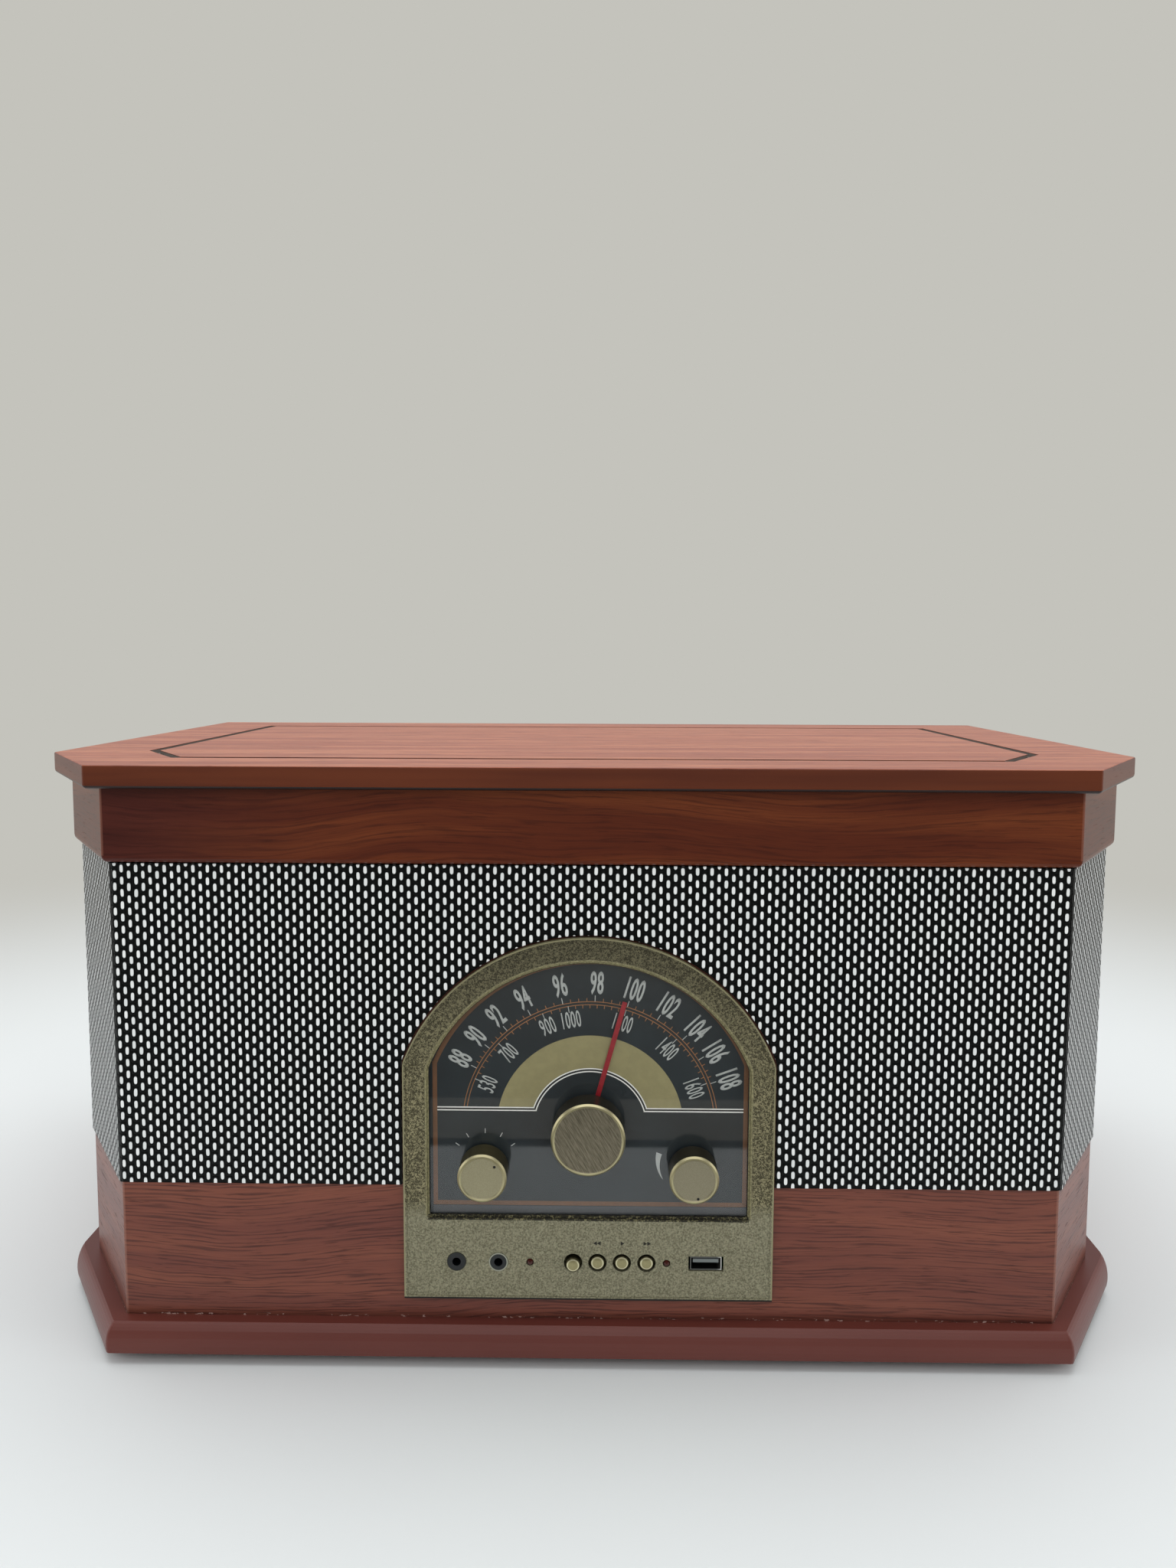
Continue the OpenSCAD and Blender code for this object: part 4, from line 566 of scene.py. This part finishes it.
BAND_R, LINE_R, LINE_TUCK = 0.0393, 0.0253, 0.94
LINE_W, LINE_GAP = 0.0005, 0.00125
LINE_Z = PRINT_Z + 0.0082
HALF_PRINT = 0.0645
printed("dial_band", [flat_ring(LINE_R, BAND_R, band_y, LINE_Z)],
        plain("band_tan", srgb(148, 139, 95), 0.5, 0.0, 300, 0.00001, 0.06))
black_z = LINE_Z - LINE_GAP
black_x = LINE_R * LINE_TUCK
black_parts = [flat_ring(LINE_R - LINE_GAP, LINE_R, band_y, black_z),
               flat_bar(PRINT_X - HALF_PRINT, PRINT_X - black_x, black_z, LINE_Z, band_y),
               flat_bar(PRINT_X + black_x, PRINT_X + HALF_PRINT, black_z, LINE_Z, band_y)]
printed("dial_black", black_parts, plain("ink_black", srgb(12, 13, 14), 0.5, 0.0, 300, 0.00001))
white_parts = []
for drop in (0, LINE_GAP):
    radius = LINE_R - drop
    z = LINE_Z - drop
    foot_x = math.sqrt(radius ** 2 - (z - PRINT_Z) ** 2)
    white_parts.append(flat_ring(radius - LINE_W, radius, line_y, z - LINE_W))
    for side in (-1, 1):
        ends = sorted((PRINT_X + side * (foot_x - LINE_W), PRINT_X + side * HALF_PRINT))
        white_parts.append(flat_bar(ends[0], ends[1], z - LINE_W, z, line_y))
printed("dial_lines", white_parts, plain("ink_white", srgb(240, 239, 231), 0.5, 0.0, 300, 0.00001, 0.04))

fm_angles = list(FM_NUMBERS.values())
am_angles = list(AM_NUMBERS.values())
SCALE_R, SCALE_GAP, SCALE_W = 0.0538, 0.0013, 0.0003
MINOR, MINOR_W, MAJOR, FM_MAJOR_W, AM_MAJOR_W = 0.0015, 0.00028, 0.0027, 0.00032, 0.0003
AM_SCALE_R = SCALE_R - SCALE_GAP
copper = plain("ink_copper", srgb(166, 114, 68), 0.45, 0.2, 300, 0.00001, 0.08)
copper_parts = [flat_ring(radius - SCALE_W / 2, radius + SCALE_W / 2, band_y, LINE_Z)
                for radius in (SCALE_R, AM_SCALE_R)]
copper_parts += ticks(SCALE_R, SCALE_R + MINOR, MINOR_W, band_y, minor_angles(fm_angles, 3))
am_minor = (minor_angles(am_angles[:3], 5) + minor_angles(am_angles[2:4], 2)
            + minor_angles(am_angles[3:], 7))
copper_parts += ticks(AM_SCALE_R - MINOR, AM_SCALE_R, MINOR_W, band_y, am_minor)
printed("dial_scale", copper_parts, copper)

EDGE_W, EDGE_R, EDGE_RISE, EDGE_LAP = 0.0019, 0.0699, 0.0012, 0.001
FOOT_SINK, FOOT_GAP = 0.0005, 0.0003
FOOT_Z = WINDOW_Z + 0.0028
edge_foot = ARCH_Z + EDGE_RISE + math.sqrt(EDGE_R ** 2 - HALF_PRINT ** 2)
edge_parts = [flat_ring(EDGE_R, EDGE_R + EDGE_W, band_y, edge_foot, PRINT_X, ARCH_Z + EDGE_RISE)]
for side in (-1, 1):
    ends = sorted((PRINT_X + side * HALF_PRINT, PRINT_X + side * (HALF_PRINT + EDGE_W)))
    edge_parts.append(flat_bar(ends[0], ends[1], FOOT_Z, edge_foot + EDGE_LAP, band_y))
edge_parts.append(flat_bar(PRINT_X - HALF_PRINT, PRINT_X + HALF_PRINT, FOOT_Z, FOOT_Z + EDGE_W, band_y))
printed("dial_edge", edge_parts, plain("ink_brown", srgb(120, 80, 48), 0.45, 0.2, 300, 0.00001, 0.08))
# Painted reflection: a grey strip along the foot of the window, for the window's lower edge.
printed("dial_foot_reflection", [flat_bar(PRINT_X - HALF_PRINT - EDGE_W, PRINT_X + HALF_PRINT + EDGE_W,
                               WINDOW_Z - FOOT_SINK, FOOT_Z - FOOT_GAP, line_y)],
        plain("foot_painted_reflection", srgb(74, 75, 77), 0.3, 0.0, 300, 0.00001, 0.05))

grey = plain("ink_grey", srgb(182, 185, 180), 0.5, 0.0, 300, 0.00001, 0.06)
grey_parts = ticks(SCALE_R, SCALE_R + MAJOR, FM_MAJOR_W, band_y, fm_angles)
grey_parts += ticks(AM_SCALE_R - MAJOR, AM_SCALE_R, AM_MAJOR_W, band_y, am_angles)
FM_HEIGHT, FM_WEIGHT, FM_R, FM_TURN = 0.0094, 0.019, 0.0614, 0.5
AM_HEIGHT, AM_WEIGHT, AM_R = 0.0071, 0.009, 0.0463
for value, angle in FM_NUMBERS.items():
    grey_parts.append(number(value, FM_HEIGHT, FM_WEIGHT, angle + FM_TURN, FM_R))
for value, angle in AM_NUMBERS.items():
    grey_parts.append(number(value, AM_HEIGHT, AM_WEIGHT, angle, AM_R))
SELECTOR_ANGLES = (-54, -31, 0, 28, 54)
TICK_FROM, TICK_TO, TICK_W = 0.0135, 0.0155, 0.00035
grey_parts += ticks(TICK_FROM, TICK_TO, TICK_W, band_y, SELECTOR_ANGLES, *middle("selector_shaft"))
printed("dial_numbers", grey_parts, grey)

volume_x, volume_z = middle("volume_shaft")
WEDGE_R, WEDGE_W, WEDGE_STEPS, WEDGE_TIP = 0.0136, 0.0025, 12, 0.05
WEDGE_FROM, WEDGE_TURN = 21, 49
HAIR = 0.00001
wedge = flat_bar(volume_x - WEDGE_R - WEDGE_W, volume_x - WEDGE_R, volume_z, volume_z + HAIR, band_y)
wedge.data.transform(clockwise(WEDGE_FROM, volume_x, volume_z))
bpy.ops.object.mode_set(mode="EDIT")
bpy.ops.mesh.select_mode(type="EDGE")
bpy.ops.mesh.select_all(action="SELECT")
bpy.ops.mesh.delete(type="ONLY_FACE")
bpy.ops.mesh.select_all(action="SELECT")
bpy.ops.mesh.remove_doubles(threshold=2 * HAIR)
bpy.ops.mesh.select_all(action="SELECT")
for k in range(WEDGE_STEPS):
    angle = math.radians(WEDGE_FROM - WEDGE_TURN * (k + 1) / WEDGE_STEPS)
    bpy.ops.mesh.extrude_region_move()
    bpy.ops.transform.rotate(value=math.radians(WEDGE_TURN / WEDGE_STEPS), orient_axis="Y",
                             center_override=(volume_x, band_y, volume_z))
    inner_end = (volume_x - WEDGE_R * math.cos(angle), band_y, volume_z + WEDGE_R * math.sin(angle))
    shrink = (WEDGE_STEPS - k - 1 + WEDGE_TIP) / (WEDGE_STEPS - k + WEDGE_TIP)
    bpy.ops.transform.resize(value=(shrink, shrink, shrink), center_override=inner_end)
bpy.ops.object.mode_set(mode="OBJECT")
printed("dial_wedge", [wedge], grey)

plain("pointer_red", srgb(150, 18, 30), 0.35).on(nodes["dial_pointer"])


# Marks on the strip: small plain triangles in dark olive ink, printed on the sanded face of the
# moulding over the three playback buttons. One points on, and the pairs point back and ahead.
STRIP_BACK = 0.0004
MARK_R, MARK_UP, PAIR = 0.00105, 0.0086, 0.0008
ink_olive = plain("mark_olive", srgb(34, 31, 22), 0.6, 0.0, 300, 0.00001)
marks = []
for button, shifts, way in (("previous_button", (-PAIR, PAIR), -1), ("play_button", (0,), 1),
                            ("next_button", (-PAIR, PAIR), 1)):
    button_x, button_z = middle(button)
    for shift in shifts:
        x, z = button_x + shift, button_z + MARK_UP
        bpy.ops.mesh.primitive_circle_add(vertices=3, radius=MARK_R, fill_type="NGON",
                                          location=(x, panel_low.y + STRIP_BACK - HAIR, z),
                                          rotation=(math.pi / 2, 0, 0))
        bpy.ops.object.transform_apply()
        mark = bpy.context.object
        mark.data.transform(clockwise(90 * way, x, z))
        marks.append(mark)
printed("playback_marks", marks, ink_olive)


# Knobs: turned metal caps, pushed on their shafts. The tuning knob's face is brushed, and the
# two small knobs' faces are blasted and have a black dot sunk in them. All have a polished bevel.
BEVEL_DEEP = 0.0012
TUNING_FACE_R, SMALL_FACE_R = 0.0138, 0.0087


def apart(x, z, centre):
    return ((x - centre[0]) ** 2 + (z - centre[1]) ** 2) ** 0.5


def turned_metal(name, dark, light, skirt_reflection_tone, rough, node, face_r, brushed):
    metal = Finish(name, Metallic=0.85)
    bevel_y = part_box(node)[0].y + BEVEL_DEEP
    x, y, z = metal.axes()
    polished = (apart(x, z, middle(node)) > face_r) * (y < bevel_y)
    skirt = y > bevel_y
    if brushed:
        lines = metal.noise(metal.join(x * 1500 + z * 900, 0.0, z * 90 - x * 140), 1.0, 3, 0.65)
    else:
        lines = metal.noise(metal.place(), 2600, 2, 0.5)
    tone = metal.mix(lines.between(0.3, 0.7), dark, light)
    tone = metal.mix(polished, tone, srgb(184, 176, 138))
    # Painted reflection: each knob's skirt gets its own darker tone.
    tone = metal.mix(skirt, tone, skirt_reflection_tone)
    metal.set(Base_Color=tone, Roughness=rough - polished * 0.12 - skirt * 0.15,
              Normal=metal.bump(lines * (1 - polished.most(skirt)), 0.00003, 0.3))
    metal.on(nodes[node])


turned_metal("brushed_brass", srgb(104, 98, 82), srgb(150, 142, 122), srgb(66, 60, 42), 0.4,
             "tuning_knob", TUNING_FACE_R, True)
turned_metal("selector_brass", srgb(167, 160, 130), srgb(177, 170, 140), srgb(104, 95, 58), 0.45,
             "selector_knob", SMALL_FACE_R, False)
turned_metal("volume_brass", srgb(154, 147, 123), srgb(164, 157, 133), srgb(72, 66, 46), 0.45,
             "volume_knob", SMALL_FACE_R, False)

DOT_R, DOT_SIDES, DOT_FOOT, DOT_DEEP = 0.00055, 20, 0.0009, 0.0003
for knob, angle, out in (("selector_knob", 46, 0.0072), ("volume_knob", 168, 0.008)):
    knob_x, knob_z = middle(knob)
    x = knob_x + out * math.sin(math.radians(angle))
    z = knob_z + out * math.cos(math.radians(angle))
    bpy.ops.mesh.primitive_circle_add(vertices=DOT_SIDES, radius=DOT_R, fill_type="NGON",
                                      location=(x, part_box(knob)[0].y + DOT_FOOT, z),
                                      rotation=(math.pi / 2, 0, 0))
    bpy.ops.object.transform_apply()
    bpy.ops.object.mode_set(mode="EDIT")
    bpy.ops.mesh.extrude_region_move(TRANSFORM_OT_translate={"value": (0, -DOT_DEEP, 0)})
    bpy.ops.object.mode_set(mode="OBJECT")
    dot = bpy.context.object
    dot.name = dot.data.name = knob.replace("knob", "dot")
    plain(dot.name + "_black", srgb(14, 14, 13), 0.5).on(dot)
    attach(dot, knob.replace("_knob", ""))


# Buttons: small domed plastic caps, plated like the panel and polished, each on the plunger of
# a switch behind the panel. A ring of painted highlight lies round each dome, and the sides are
# painted dark as shade.
HIGHLIGHT_IN, HIGHLIGHT_OUT, SIDE_SHADE_R = 0.0021, 0.0026, 0.0027
buttons = ("usb_button", "previous_button", "play_button", "next_button")


def to_nearest(x, z, centres):
    nearest = apart(x, z, centres[0])
    for centre in centres[1:]:
        nearest = nearest.least(apart(x, z, centre))
    return nearest


cap = Finish("button_brass", Metallic=0.85)
x, y, z = cap.axes()
scuff = cap.noise(cap.place(), 1500, 2)
radius = to_nearest(x, z, [middle(button) for button in buttons])
tone = cap.mix(scuff, srgb(150, 142, 104), srgb(172, 164, 124))
# Painted highlight in a ring round each dome, and painted shade on the sides.
tone = cap.mix((radius > HIGHLIGHT_IN) * (radius < HIGHLIGHT_OUT), tone, srgb(226, 220, 184))
tone = cap.mix(radius > SIDE_SHADE_R, tone, srgb(56, 52, 34))
cap.set(Base_Color=tone, Roughness=0.26 + scuff * 0.08, Normal=cap.bump(scuff, 0.00001, 0.2))
cap.on(*[nodes[n] for n in buttons])


# Sockets and lamps of the strip: black jacks with a steel ring and a grey bore, red lamps sunk
# in their holes, and a steel socket for a memory stick with a black tongue.
JACK_HALF, NOSE = 0.005, 0.0012
BORE_R, GREY_R, STEEL_R, DARK_R = 0.0019, 0.0034, 0.0035, 0.0037
jack = Finish("jack_black")
x, y, z = jack.axes()
low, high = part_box("audio_jacks")
jacks_x, jacks_z = middle("audio_jacks")
radius = to_nearest(x, z, [(low.x + JACK_HALF, jacks_z), (high.x - JACK_HALF, jacks_z)])
in_front = y < low.y + NOSE
steel_one = x > jacks_x
ring = (radius > steel_one.pick(STEEL_R, DARK_R)) * in_front
bore_grey = (radius < GREY_R) * (radius > BORE_R)
fuzz = jack.noise(jack.place(), 900, 2)
tone = jack.mix(bore_grey * in_front, jack.mix(fuzz, srgb(12, 13, 16), srgb(18, 20, 24)),
                jack.mix(steel_one, srgb(18, 21, 22), srgb(22, 26, 27)))
tone = jack.mix(ring, tone, jack.mix(steel_one, srgb(60, 61, 56), srgb(168, 168, 152)))
jack.set(Base_Color=tone, Metallic=ring * 0.8, Roughness=0.35)
jack.on(nodes["audio_jacks"])

plain("lamp_red", srgb(64, 22, 15), 0.12, 0.0, 900).on(nodes["indicator_lamps"])

SHELL_T, TONGUE_H, TONGUE_HALF = 0.0006, 0.0014, 0.0056
PAD_PITCH, PAD_BACK = 0.0022, 0.0014
port = Finish("port_steel")
x, y, z = port.axes()
low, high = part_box("usb_socket")
port_x, port_z = middle("usb_socket")
within = abs(x - port_x) < (high.x - low.x) / 2 - SHELL_T
within = within * (abs(z - port_z) < (high.z - low.z) / 2 - SHELL_T)
pads = (abs(((x - port_x) / PAD_PITCH).rest() - 0.5) < 0.2) * (y > low.y + PAD_BACK) * (z < port_z)
smudge = port.noise(port.place(), 700, 2)
# Painted reflection and highlight: the steel shell is toned dark, with a bright right end.
shell_painted_light = port.mix(smudge, srgb(92, 92, 90), srgb(118, 118, 114))
shell_painted_light = port.mix((x - port_x).between(0.0045, 0.0062), shell_painted_light, srgb(196, 196, 190))
tongue = (abs(z - port_z) < TONGUE_H) * (abs(x - port_x) < TONGUE_HALF)
# Painted shade: inside the shell, round the tongue, the socket is near black.
tone = port.mix(within, shell_painted_light, port.mix(tongue, srgb(24, 27, 29), srgb(118, 124, 122)))
port.set(Base_Color=port.mix(pads * within, tone, srgb(72, 72, 66)), Metallic=1 - within * 0.9,
         Roughness=0.28 + smudge * 0.08)
port.on(nodes["usb_socket"])


# Turntable: a matt black deck, a cast platter with a turned edge under a ribbed rubber mat, a
# steel spindle, and a belt from the motor's brass pulley.
plain("deck_black", srgb(34, 31, 30), 0.5, 0.0, 1800, 0.00006).on(nodes["deck_plate"])
plain("rubber", srgb(26, 26, 26), 0.75).on(
    *[nodes[n] for n in ("rubber_feet", "platter_mat", "drive_belt", "lid_pads")])
low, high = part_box("platter")
cast = Finish("cast_alloy", Metallic=1.0)
x, y, z = cast.axes()
radius = apart(x, y, ((low.x + high.x) / 2, (low.y + high.y) / 2))
turning = cast.noise(cast.join(radius * 3000, z * 3000, 0.0), 1.0, 2)
cast.set(Base_Color=cast.mix(turning, srgb(146, 146, 148), srgb(176, 176, 178)),
         Roughness=0.26 + turning * 0.1, Normal=cast.bump(turning, 0.00002, 0.3))
cast.on(nodes["platter"])
steel = plain("plain_steel", srgb(170, 170, 172), 0.3, 1.0)
steel.on(*[nodes[n] for n in ("spindle", "cabinet_screws", "deck_screws", "lid_screws", "tuning_shaft",
                              "selector_shaft", "volume_shaft", "function_switch", "volume_control",
                              "tuning_capacitor", "drive_motor", "line_sockets", "power_transformer")])
plain("hinge_brass", srgb(196, 168, 104), 0.32, 1.0).on(
    nodes["cabinet_hinge_leaves"], nodes["lid_hinge_leaves"], nodes["motor_pulley"])


# Tonearm: a black tube and weight in a bright yoke, a black headshell with a red cartridge, and
# a rest and turret moulded in black. The two sliders beside it are bright plastic.
plain("arm_black", srgb(18, 18, 19), 0.2).on(nodes["arm_tube"])
plain("yoke_alloy", srgb(178, 178, 180), 0.28, 1.0).on(nodes["arm_gimbal"])
plain("slider_silver", srgb(168, 168, 170), 0.35, 0.7).on(nodes["speed_slider"], nodes["autostop_slider"])
plain("cartridge_red", srgb(150, 26, 20), 0.3).on(nodes["cartridge"])
plain("black_plastic", srgb(20, 20, 21), 0.42).on(
    *[nodes[n] for n in ("dial_housing", "mains_inlet", "arm_base", "arm_rest", "headshell")])


# Inside: pine cleats glued under the deck, two speakers with paper cones in steel baskets that
# are fixed to the back of the front board, and green circuit boards.
plain("pine", srgb(196, 160, 112), 0.6, 0.0, 120).on(nodes["deck_cleats"])
plain("circuit_green", srgb(26, 82, 50), 0.4).on(nodes["control_board"], nodes["main_board"])
plain("basket_black", srgb(40, 40, 42), 0.45, 0.6).on(nodes["speaker_baskets"], nodes["speaker_magnets"])
plain("cone_paper", srgb(26, 26, 27), 0.85).on(nodes["speaker_cones"])
